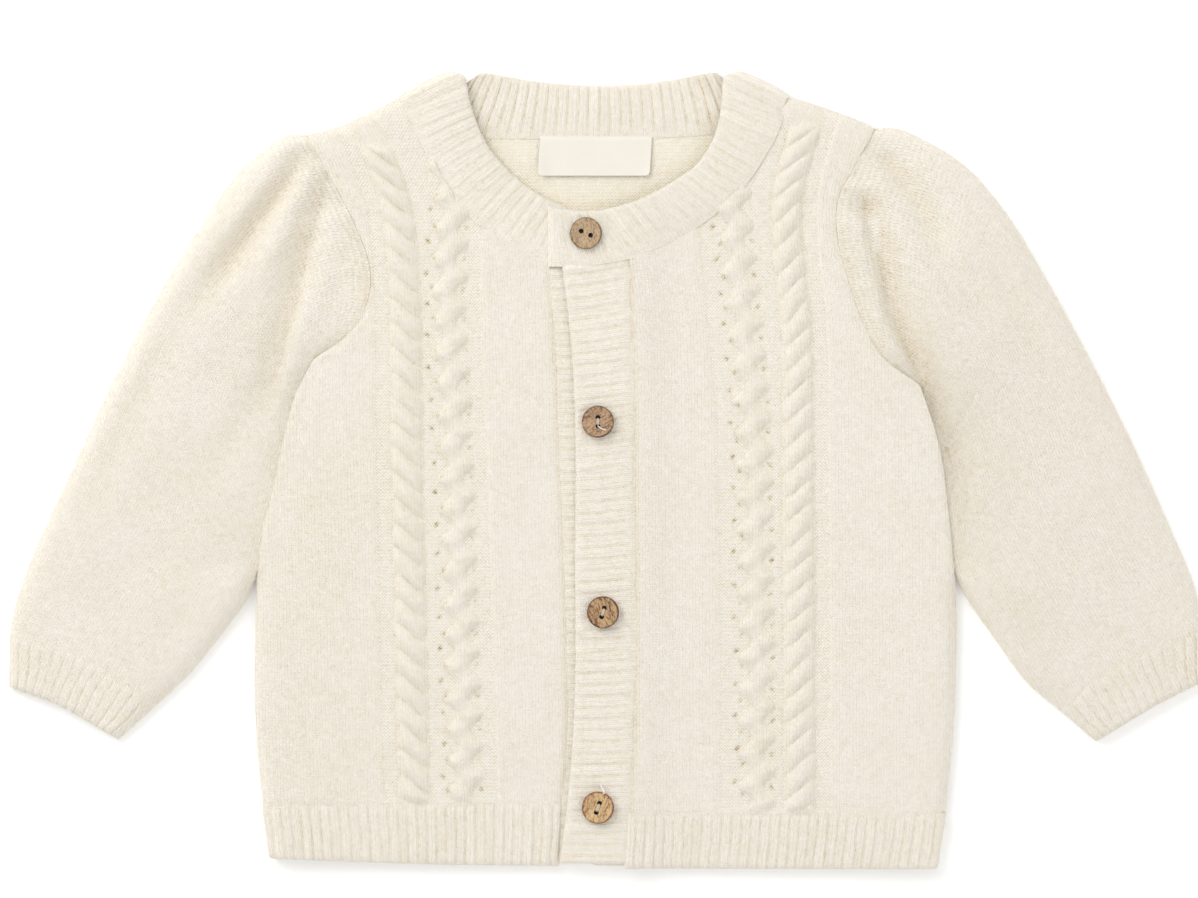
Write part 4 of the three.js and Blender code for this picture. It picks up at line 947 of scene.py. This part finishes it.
def flat_tube(name, patch, crown, relief, length, columns, rows, stitch_shift=0.0, beside=None):
    """A tube pressed flat: an upper side with its folds, a flat lower side, and an empty space inside. Its
    lower side and inner walls get a little painted shade.
    """
    u = 0.5 - 0.5 * np.cos(np.pi * np.linspace(0, 1, columns + 1))
    v = np.linspace(0, 1, rows + 1)
    v[1], v[-2] = 0.15 * v[1], 1 - 0.15 * v[1]
    step = 3
    x, y, width = patch(u, v)
    u, v = u[None, :] + 0 * x, v[:, None] + 0 * x
    from_edge = np.minimum(u, 1 - u) * width
    top = tube_edge + (crown(v) - tube_edge) * (1 - np.exp(-from_edge / 2.4))
    bumps, painted_shade = relief(x, y, u, v)
    if beside:
        top, close = beside(x, y, u, crown(v), top)
        # Painted shade where the sleeve runs under the body's edge.
        bumps, painted_shade = bumps * (1 - 0.8 * close), painted_shade + 0.13 * close
    top = np.maximum(top + bumps * np.clip(from_edge / 1.5, 0.15, 1), np.minimum(top, 3.4))
    low = tube_edge * (1 - rounded(from_edge, 2.0))
    back = slice(columns - 1, 0, -1)
    outer = np.concatenate([np.stack([x, y, top], -1), np.stack([x, y, low], -1)[:, back]], axis=1)
    run = np.cumsum(np.hypot(np.gradient(x, axis=1), np.gradient(y, axis=1)), axis=1)
    knit = np.stack([run - 0.5 * run[:, -1:], -v * length + stitch_shift], -1)
    knit = np.concatenate([knit, knit[:, back]], axis=1)
    # Painted shade on the lower side.
    painted_shade = np.concatenate([painted_shade, 0.05 + 0 * painted_shade[:, back]], axis=1)
    margin = np.minimum(1.8 / width, 0.2)
    iu = margin + (1 - 2 * margin) * u
    ix, iy = np.empty_like(x), np.empty_like(y)
    for row in range(rows + 1):
        ix[row] = np.interp(iu[row], u[row], x[row])
        iy[row] = np.interp(iu[row], u[row], y[row])
    inside = np.clip(from_edge / 2, 0, 1)
    in_top = np.maximum(top - 1.8, 2.1) * inside + 2.2 * (1 - inside)
    in_low = np.minimum(1.6 + 0 * top, in_top - 0.2)
    inner = np.concatenate([np.stack([ix, iy, in_top], -1), np.stack([ix, iy, in_low], -1)[:, back]], axis=1)
    around = outer.shape[1]
    inner, inner_knit = inner[::step, ::step], knit[::step, ::step]
    fine = np.arange(outer.shape[0] * around).reshape(-1, around)
    coarse = fine.size + np.arange(inner.shape[0] * inner.shape[1]).reshape(inner.shape[:2])
    fine_ring, coarse_ring = ringed(fine), ringed(coarse)
    faces = quads(fine_ring) + quads(coarse_ring[::-1])
    faces += edge_faces(fine_ring[0], coarse_ring[0], True)
    faces += edge_faces(fine_ring[-1], coarse_ring[-1], False)
    points = np.concatenate([outer.reshape(-1, 3), inner.reshape(-1, 3)])
    stitches = np.concatenate([knit.reshape(-1, 2), inner_knit.reshape(-1, 2)])
    # Painted shade on the inner walls.
    shade = np.concatenate([painted_shade.ravel(), 0.1 + 0 * painted_shade[::step, ::step].ravel()])
    purl = np.concatenate([0 * painted_shade.ravel(), 1.0 + 0 * painted_shade[::step, ::step].ravel()])
    return cloth_mesh(name, points, faces, stitches, shade, purl)


def sleeve(side):
    out = -1 if side == "right" else 1
    arm_foot, arm_top = armhole[side][0][1], armhole[side][-1][1]

    def patch(u, v):
        head = 0.02 / sleeve_length
        up = np.linspace(arm_top, arm_foot, 60)
        sewn_edge = np.stack([line(armhole[side])(up), up], -1)
        outer_edge = [tuple(sewn_edge[0]), *sleeve_outer[side][1:]]
        beside = np.linspace(arm_foot, -38, 30)
        inner_edge = [tuple(spot) for spot in np.stack([body_edge(side, beside, -0.02), beside], -1)]
        inner_edge += [spot for spot in sleeve_inner[side] if spot[1] < -44]
        x, y, width = between(sewn_edge, cuff_seam[side], outer_edge, inner_edge, u,
                              head + (1 - head) * v, hold=14, lead=1.0)
        edge = body_edge(side, y)
        least = 0.1 * (1 - u[None, :]) * width * ease(v[:, None] / 0.1) * ease((u[None, :] - 0.6) / 0.2)
        clear = np.where(y < arm_top - 5, np.maximum(out * (x - edge), least), out * (x - edge))
        return edge + out * clear, y, width

    def crown(v):
        return np.interp(v, [0, 0.07, 0.2, 0.45, 0.75, 1], [6.9, 9.4, 10.6, 8.8, 7.6, 6.4])

    def beside_body(x, y, u, crown, top):
        """The sleeve starts low under the edge of the body and rises away from it."""
        gap = np.maximum(0, out * (x - body_edge(side, y)))
        meets = ease((y + 46) / 10) * ease((arm_top - 15 - y) / 25) * ease((u - 0.35) / 0.15)
        start = 6.2 if side == "right" else 4.9 + 1.2 * ease((y - arm_foot + 12) / 20)
        risen = start + (crown - start) * (1 - np.exp(-gap / (24 if side == "right" else 15)))
        # The second value, how close a place is to the body's edge, damps the folds there and brings painted
        # shade.
        return top + meets * (risen - top), meets * np.exp(-((gap / 5) ** 2))

    def relief(x, y, u, v):
        # Painted shade: a little all over the sleeve.
        rise, painted_shade = 0 * x, 0.03 + 0 * x
        for depth, wide, start, lean, path in folds[side]:
            away, along, flank = crease(path, x, y)
            fade = ease(along / start) * ease((1 - along) / 0.4)
            reach = wide * (0.75 + 0.5 * along) * (1 - lean * out * flank)
            mark = fade * np.exp(-((away / reach) ** 2))
            rise = rise - depth * mark
            # Painted shade in the troughs of the folds.
            painted_shade = painted_shade + 0.055 * max(depth, 0) * mark
        rise = rise + 0.25 * unevenness(x, y, 30, 21 if side == "right" else 22) * ease((1 - v) / 0.08)
        from_head = v * sleeve_length
        rise = rise - 0.5 * np.exp(-((from_head / 1.6) ** 2))
        gathers = np.sin(2 * math.pi * u * 9) * np.exp(-from_head / 9) * ease((0.75 - u) / 0.3)
        rise = rise + 0.45 * gathers
        # Painted shade along the armhole seam.
        return rise, painted_shade + 0.06 * np.exp(-((from_head / 1.2) ** 2))

    return flat_tube(f"sleeve_cloth_{side}", patch, crown, relief, sleeve_length, columns=90,
                     rows=168, beside=beside_body)


sleeves = {side: sleeve(side) for side in ("right", "left")}
for side, arm in sleeves.items():
    arm.data.materials.append(cream_wool)
    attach(arm, "root")
    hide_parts(f"sleeve_{side}")

# Cuffs. Short ribbed tubes that draw the sleeves in at the wrist, with the ribs along the arm.
cuff_ribs, cuff_length = 14, 18.5


def cuff(side):
    start, end = cuff_seam[side], cuff_edge[side]

    def patch(u, v):
        return between(start, end, [start[0], end[0]], [start[-1], end[-1]], u, 0.0005 + 0.9995 * v)

    def crown(v):
        return 6.4 - 1.1 * v

    def relief(x, y, u, v):
        chance = np.random.default_rng(17 if side == "right" else 18)
        place = cuff_ribs * u + 0.1 * np.sin(5 * v + 9 * u)
        groove = np.abs(2 * (place % 1) - 1)
        heights = np.interp(u, np.linspace(0, 1, cuff_ribs), chance.uniform(0.85, 1.1, cuff_ribs))
        rib = heights * (1 - groove**4.5 - 0.14 * np.exp(-((groove / 0.2) ** 2)))
        at_end = rounded((1 - v) * cuff_length, 1.8)
        rise = 0.55 * rib * (0.3 + 0.7 * at_end) * ease(v * 7) - 1.3 * (1 - at_end)
        # Painted shade: a little all over, and more in the grooves between the ribs.
        return rise, 0.03 + 0.21 * np.exp(-(((1 - groove) / 0.2) ** 2)) * ease(v * 6)

    return flat_tube(f"cuff_rib_{side}", patch, crown, relief, cuff_length, columns=150, rows=24,
                     stitch_shift=-sleeve_length)


cuffs = {side: cuff(side) for side in ("right", "left")}
for side, wrist in cuffs.items():
    wrist.data.materials.append(cream_wool)
    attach(wrist, "root")
    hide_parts(f"cuff_{side}")

# Label. A blank strip of cream satin ribbon, heat-cut and rounded at its corners, sewn by its upper
# edge under the seam of the neckband so that it lies on the inside of the back.
label_left, label_right, label_top, label_foot = -25.1, 16.9, 124.6, 109.8
label_rows, label_columns = 36, 90


def satin(name, colour, shade):
    """Woven satin: fine threads across the ribbon, with a soft gloss."""
    material, tree, shader = blank_material(name)
    place = tree.nodes.new("ShaderNodeTexCoord").outputs["Object"]
    threads = tree.nodes.new("ShaderNodeTexWave")
    threads.bands_direction = "Y"
    threads.inputs["Scale"].default_value = 900.0
    threads.inputs["Distortion"].default_value = 0.6
    threads.inputs["Detail"].default_value = 2.0
    tree.links.new(place, threads.inputs["Vector"])
    clouds = tree.nodes.new("ShaderNodeTexNoise")
    clouds.inputs["Scale"].default_value = 130.0
    clouds.inputs["Detail"].default_value = 3.0
    tree.links.new(place, clouds.inputs["Vector"])
    tones = tree.nodes.new("ShaderNodeMix")
    tones.data_type = "RGBA"
    tones.inputs["A"].default_value = (*shade, 1.0)
    tones.inputs["B"].default_value = (*colour, 1.0)
    tree.links.new(clouds.outputs["Fac"], tones.inputs["Factor"])
    tree.links.new(tones.outputs["Result"], shader.inputs["Base Color"])
    raised(tree, shader, threads.outputs["Fac"], 0.35, 0.00008)
    shader.inputs["Roughness"].default_value = 0.42
    shader.inputs["Sheen Weight"].default_value = 0.15
    return material


across = np.linspace(0, 1, label_columns + 1)[None, :]
down = np.linspace(0, 1, label_rows + 1)[:, None]
corner = 1.5
label_x = label_left + (label_right - label_left) * across + 0 * down
label_y = label_top + (label_foot - label_top) * down + 0 * across
to_end = np.minimum(label_x - label_left, label_right - label_x)
cut = corner - np.sqrt(np.clip(corner**2 - (corner - np.clip(to_end, 0, corner)) ** 2, 0, None))
label_y = label_y + cut * down**3
label_x = label_x - 0.9 * down
curl = 1.1 * np.exp(-(((label_x + 25.5) / 3.0) ** 2)) + 0.35 * np.exp(-(((label_x - 17) / 4) ** 2))
label_z = 2.95 + 0.45 * down**2 + curl * down + 0.1 * unevenness(label_x, label_y, 16, 71)
label_z = label_z - 0.35 * np.exp(-((down / 0.06) ** 2))
ribbon = panel(
    "label_ribbon", label_x, label_y, label_z, label_z - 0.3,
    np.stack([label_x, label_y], -1), 0 * label_x, 0 * label_x, step=3,
)
ribbon.data.materials.append(satin("cream_satin", (0.855, 0.82, 0.74), (0.795, 0.755, 0.665)))
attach(ribbon, "root")
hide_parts("label")

# Buttons. Discs of coconut shell, sawn out, bevelled and polished, with two drilled holes. Each is
# sewn on with cream cotton. The shell's streaks and its dark skin differ from button to button.
button_seat = button_band_middle + 1.0 + 0.8 + 0.3
button_facts = {
    "button_1": dict(at=(-7.9, 87.8), turn=-24, apart=3.8, streaks=0.2, contrast=2.6, rim=0.5,
                     light=(0.54, 0.39, 0.235), dark=(0.17, 0.095, 0.045)),
    "button_2": dict(at=(-3.4, 17.3), turn=90, apart=3.2, streaks=-0.9, contrast=4.2, rim=0.6,
                     light=(0.50, 0.33, 0.19), dark=(0.12, 0.045, 0.022)),
    "button_3": dict(at=(-1.5, -54), turn=73, apart=3.4, streaks=0.45, contrast=6.0, rim=0.9,
                     light=(0.52, 0.34, 0.17), dark=(0.12, 0.038, 0.018)),
    "button_4": dict(at=(-3.4, -127.1), turn=70, apart=3.6, streaks=-0.25, contrast=4.2, rim=0.85,
                     light=(0.68, 0.48, 0.24), dark=(0.22, 0.075, 0.028)),
}


def coconut(name, light, dark, streaks, contrast, rim):
    """Polished coconut shell: streaks that run one way, pores, and the dark skin at the rim."""
    material, tree, shader = blank_material(name)
    place = tree.nodes.new("ShaderNodeTexCoord").outputs["Object"]

    def grain(scale, stretch, distortion):
        turned = tree.nodes.new("ShaderNodeMapping")
        turned.vector_type = "TEXTURE"
        turned.inputs["Rotation"].default_value = (0.0, 0.0, streaks)
        turned.inputs["Scale"].default_value = (1 / stretch, 1.4, 1.0)
        tree.links.new(place, turned.inputs["Vector"])
        texture = tree.nodes.new("ShaderNodeTexNoise")
        texture.inputs["Scale"].default_value = scale
        texture.inputs["Detail"].default_value = 5.0
        texture.inputs["Roughness"].default_value = 0.7
        texture.inputs["Distortion"].default_value = distortion
        tree.links.new(turned.outputs["Vector"], texture.inputs["Vector"])
        return texture.outputs["Fac"]

    broad, fine = grain(230.0, 2.4, 1.6), grain(1300.0, 3.5, 0.5)
    length = tree.nodes.new("ShaderNodeVectorMath")
    length.operation = "MULTIPLY"
    length.inputs[1].default_value = (1.0, 1.0, 0.0)
    tree.links.new(place, length.inputs[0])
    radius = tree.nodes.new("ShaderNodeVectorMath")
    radius.operation = "LENGTH"
    tree.links.new(length.outputs["Vector"], radius.inputs[0])
    skin = tree.nodes.new("ShaderNodeMapRange")
    skin.inputs["From Min"].default_value = 0.0053
    skin.inputs["From Max"].default_value = 0.0058
    skin.inputs["To Max"].default_value = rim
    tree.links.new(radius.outputs["Value"], skin.inputs["Value"])

    calc = sums_in(tree)
    shade = calc("MULTIPLY_ADD", broad, contrast, 0.22 - 0.5 * contrast)
    shade = calc("ADD", shade, calc("MULTIPLY_ADD", fine, 4.4, -2.15))
    shade = calc("ADD", shade, skin.outputs["Result"])
    tones = tree.nodes.new("ShaderNodeValToRGB")
    tones.color_ramp.elements[0].color = (*light, 1.0)
    tones.color_ramp.elements[1].color = (*dark, 1.0)
    tree.links.new(shade, tones.inputs["Fac"])
    tree.links.new(tones.outputs["Color"], shader.inputs["Base Color"])
    raised(tree, shader, fine, 0.4, 0.00015)
    shader.inputs["Roughness"].default_value = 0.5
    return material


def turned_disc(name, profile, segments):
    """A shape turned about its axis, from rows of radius and height that start and end on it."""
    angle = np.linspace(0, 2 * math.pi, segments, endpoint=False)
    rings = np.array(profile[1:-1], float)
    points = np.stack([
        rings[:, :1] * np.cos(angle), rings[:, :1] * np.sin(angle), rings[:, 1:] + 0 * angle], -1)
    ids = np.arange(points.shape[0] * segments).reshape(-1, segments)
    faces = quads(ringed(ids)) + [tuple(ids[0][::-1]), tuple(ids[-1])]
    points = points.reshape(-1, 3)
    mesh = bpy.data.meshes.new(name)
    mesh.from_pydata((points * METRES).tolist(), [], faces)
    disc = bpy.data.objects.new(name, mesh)
    bpy.context.collection.objects.link(disc)
    return disc


button_profile = [
    (0, 0), (5.2, 0), (5.7, 0.15), (6.0, 0.6), (6.0, 1.5), (5.85, 1.9), (5.5, 2.15), (5.0, 2.2), (4.2, 2.12),
    (3.0, 2.02), (2.2, 2.0), (0, 2.0),
]


def drill(disc, turn, apart):
    """Two straight holes, which end just above the cloth that the button sits on."""
    angle = math.radians(turn)
    for reach in (-apart / 2 * METRES, apart / 2 * METRES):
        bit = turned_disc("drill", [(0, 0.25), (0.92, 0.25), (0.92, 4), (0, 4)], 24)
        bit.location = (reach * math.cos(angle), reach * math.sin(angle), 0)
        bpy.context.view_layer.update()
        cut = disc.modifiers.new("hole", "BOOLEAN")
        cut.operation = "DIFFERENCE"
        cut.solver = "EXACT"
        cut.object = bit
        bpy.context.view_layer.update()
        drilled = bpy.data.meshes.new_from_object(disc.evaluated_get(bpy.context.evaluated_depsgraph_get()))
        disc.modifiers.clear()
        disc.data = drilled
        bpy.data.objects.remove(bit)


# Painted shadow: the holes stop above the cloth, and their walls and floor get this near-black material in
# place of the shade inside a real hole.
painted_hole_shadow = coconut("hole_shadow_paint", (0.035, 0.018, 0.01), (0.012, 0.006, 0.004), 0.0, 1.0, 0.0)
for name, facts in button_facts.items():
    disc = turned_disc(name + "_shell", button_profile, 72)
    drill(disc, facts["turn"], facts["apart"])
    disc.data.shade_smooth()
    disc.data.set_sharp_from_angle(angle=math.radians(38))
    level = button_seat + (0.3 if name == "button_1" else 0)
    disc.location = (facts["at"][0] * METRES, facts["at"][1] * METRES, level * METRES)
    disc.data.materials.clear()
    disc.data.materials.append(coconut(
        name + "_coconut", facts["light"], facts["dark"], facts["streaks"], facts["contrast"], facts["rim"]))
    disc.data.materials.append(painted_hole_shadow)
    angle = math.radians(facts["turn"])
    way = np.array([math.cos(angle), math.sin(angle)])
    # Faces inside the holes get the painted hole shadow.
    for face in disc.data.polygons:
        spot = np.array(face.center[:2]) / METRES
        nearest = min(np.linalg.norm(spot - k * way * facts["apart"] / 2) for k in (-1, 1))
        face.material_index = int(nearest < 0.94 and 0.1 < face.center[2] / METRES < 1.98 and face.area > 0)
    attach(disc, "root")
    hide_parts(name)

# Button thread. Twisted cotton that passes through both holes and round under each button, with
# the cut ends that were left loose at two of them.
thread_width = 0.62


def cotton(name, colour):
    """Two-ply cotton: a slanting twist and matt fibre."""
    material, tree, shader = blank_material(name)
    place = tree.nodes.new("ShaderNodeTexCoord").outputs["Object"]
    twist = tree.nodes.new("ShaderNodeTexWave")
    twist.bands_direction = "DIAGONAL"
    twist.inputs["Scale"].default_value = 700.0
    twist.inputs["Distortion"].default_value = 1.0
    tree.links.new(place, twist.inputs["Vector"])
    # Painted shade: the thread's colour darkens along the twist's grooves between the plies.
    tones = tree.nodes.new("ShaderNodeMix")
    tones.data_type = "RGBA"
    tones.inputs["A"].default_value = (*[0.72 * part for part in colour], 1.0)
    tones.inputs["B"].default_value = (*colour, 1.0)
    tree.links.new(twist.outputs["Fac"], tones.inputs["Factor"])
    tree.links.new(tones.outputs["Result"], shader.inputs["Base Color"])
    raised(tree, shader, twist.outputs["Fac"], 0.6, 0.0001)
    shader.inputs["Roughness"].default_value = 0.8
    shader.inputs["Sheen Weight"].default_value = 0.2
    return material


def strand_along(name, path, width):
    """A round strand along a path, narrower at its ends."""
    sides, steps = 8, 24
    t = np.linspace(0, 1, steps)
    middle = through(path, t)
    ahead = unit(np.gradient(middle, axis=0))
    beside = unit(np.cross(ahead, (0.31, 0.17, 0.93)))
    above = np.cross(beside, ahead)
    angle = np.linspace(0, 2 * math.pi, sides, endpoint=False)
    radius = width / 2 * np.minimum(1, 0.55 + 8 * np.minimum(t, 1 - t))[:, None, None]
    circle = (beside[:, None, :] * np.cos(angle)[None, :, None]
              + above[:, None, :] * np.sin(angle)[None, :, None])
    points = middle[:, None, :] + radius * circle
    ids = np.arange(steps * sides).reshape(steps, sides)
    faces = quads(ringed(ids)) + [tuple(ids[0]), tuple(ids[-1][::-1])]
    knit = np.stack([points[..., 0], points[..., 1]], -1).reshape(-1, 2)
    return cloth_mesh(name, points.reshape(-1, 3), faces, knit)


white_cotton = cotton("white_cotton", (0.90, 0.88, 0.84))
cream_cotton = cotton("cream_cotton", (0.74, 0.62, 0.50))
for name in ("button_2", "button_3", "button_4"):
    facts = button_facts[name]
    x, y = facts["at"]
    level = button_seat
    angle = math.radians(facts["turn"])
    reach = np.array([math.cos(angle), math.sin(angle)]) * facts["apart"] / 2
    strands = []
    for shift in (-0.24, 0.24):
        side_x, side_y = -math.sin(angle) * shift, math.cos(angle) * shift
        rise = 2.15
        lip = 1 - 0.62 / np.linalg.norm(reach)
        path = [
            (x + reach[0] * k + side_x, y + reach[1] * k + side_y, level + z)
            for k, z in ((-lip - 0.14, 0.3), (-lip - 0.08, rise - 0.7), (-lip + 0.15, rise),
                         (0, rise + 0.12), (lip - 0.15, rise), (lip + 0.08, rise - 0.7),
                         (lip + 0.14, 0.3))
        ]
        strands.append(strand_along(f"{name}_thread", path, thread_width * 0.8))
    if name == "button_2":
        end = [(x - reach[0], y - reach[1], level + 1.4), (x + 0.3, y - 1.9, level + 2.35),
               (x + 1.6, y - 2.7, level + 2.5), (x + 3.1, y - 3.2, level + 2.6)]
        strands.append(strand_along("button_2_thread_end", end, 0.5))
    if name == "button_4":
        end = [(x + 1.6, y + 4.4, level + 0.2), (x + 2.3, y + 5.9, level + 2.3),
               (x + 1.4, y + 7.6, level + 0.9), (x + 0.9, y + 9.0, level + 0.1)]
        strands.append(strand_along("button_4_thread_end", end, 0.85))
    for strand in strands:
        strand.data.materials.append(white_cotton if "end" in strand.name else cream_cotton)
        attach(strand, "root")

# Nap. The knitting was brushed, so short loose fibres of the same wool stand out of it everywhere.
# They lie in all directions over the cloth and soften its edges.
def nap(name, pieces, count, seed):
    """Fine tapering fibres that grow out of the upper side and the edges of some pieces."""
    chance = np.random.default_rng(seed)
    patches = []
    for piece in pieces:
        piece.data.calc_loop_triangles()
        ids = np.empty(3 * len(piece.data.loop_triangles), int)
        piece.data.loop_triangles.foreach_get("vertices", ids)
        places = np.empty(3 * len(piece.data.vertices))
        piece.data.vertices.foreach_get("co", places)
        patches.append(places.reshape(-1, 3)[ids.reshape(-1, 3)] / METRES)
    patches = np.concatenate(patches)
    a, b, c = patches[:, 0], patches[:, 1], patches[:, 2]
    normal = np.cross(b - a, c - a)
    size = np.linalg.norm(normal, axis=1)
    normal = normal / np.maximum(size, 1e-12)[:, None]
    seen = (normal[:, 2] > -0.2) & (patches[..., 2].mean(axis=1) > 0.7)
    reached = np.cumsum(np.where(seen, size * np.where(normal[:, 2] < 0.6, 5.0, 1), 0))
    pick = np.searchsorted(reached, chance.uniform(0, reached[-1], count))
    one, two = chance.uniform(0, 1, (2, count, 1))
    one, two = np.where(one + two > 1, 1 - one, one), np.where(one + two > 1, 1 - two, two)
    root = a[pick] + one * (b - a)[pick] + two * (c - a)[pick]
    up = normal[pick]
    way = chance.normal(0, 1, (count, 3))
    way = unit(way - up * np.einsum("ij,ij->i", way, up)[:, None])
    lift = chance.uniform(0.08, 0.75, (count, 1))
    way = way * np.cos(lift) + up * np.sin(lift)
    length = np.minimum(chance.gamma(3.0, 0.5, (count, 1)) + 0.5, 3.2)
    beside = unit(np.cross(way, up))
    above = np.cross(beside, way)
    wide = chance.uniform(0.05, 0.085, (count, 1))
    base = root - 0.15 * up
    points = np.stack([
        base + beside * wide, base - 0.5 * beside * wide + 0.87 * above * wide,
        base - 0.5 * beside * wide - 0.87 * above * wide, base + way * length], axis=1)
    points[..., 2] = np.maximum(points[..., 2], 0.1)
    first = 4 * np.arange(count)[:, None]
    sides = ((0, 1, 3), (1, 2, 3), (2, 0, 3), (0, 2, 1))
    faces = np.concatenate([first + np.array(face) for face in sides])
    stitches = np.repeat(root[:, None, :2], 4, axis=1).reshape(-1, 2)
    return cloth_mesh(name, points.reshape(-1, 3), faces.tolist(), stitches)


# Painted light: the fibres are the same wool as the knitting, given a lighter copy of the cream wool.
fibre_wool_painted_lighter = wool("fibre_wool_painted_lighter", (0.985, 0.96, 0.90), (0.93, 0.88, 0.78))
body_pieces = [*fronts.values(), button_band, under_band, neckband, *hems.values(), back_panel]
arm_pieces = [*sleeves.values(), *cuffs.values()]
for fibres in (nap("body_nap", body_pieces, 49000, 81), nap("sleeve_nap", arm_pieces, 28000, 82)):
    fibres.data.materials.append(fibre_wool_painted_lighter)
    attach(fibres, "root")
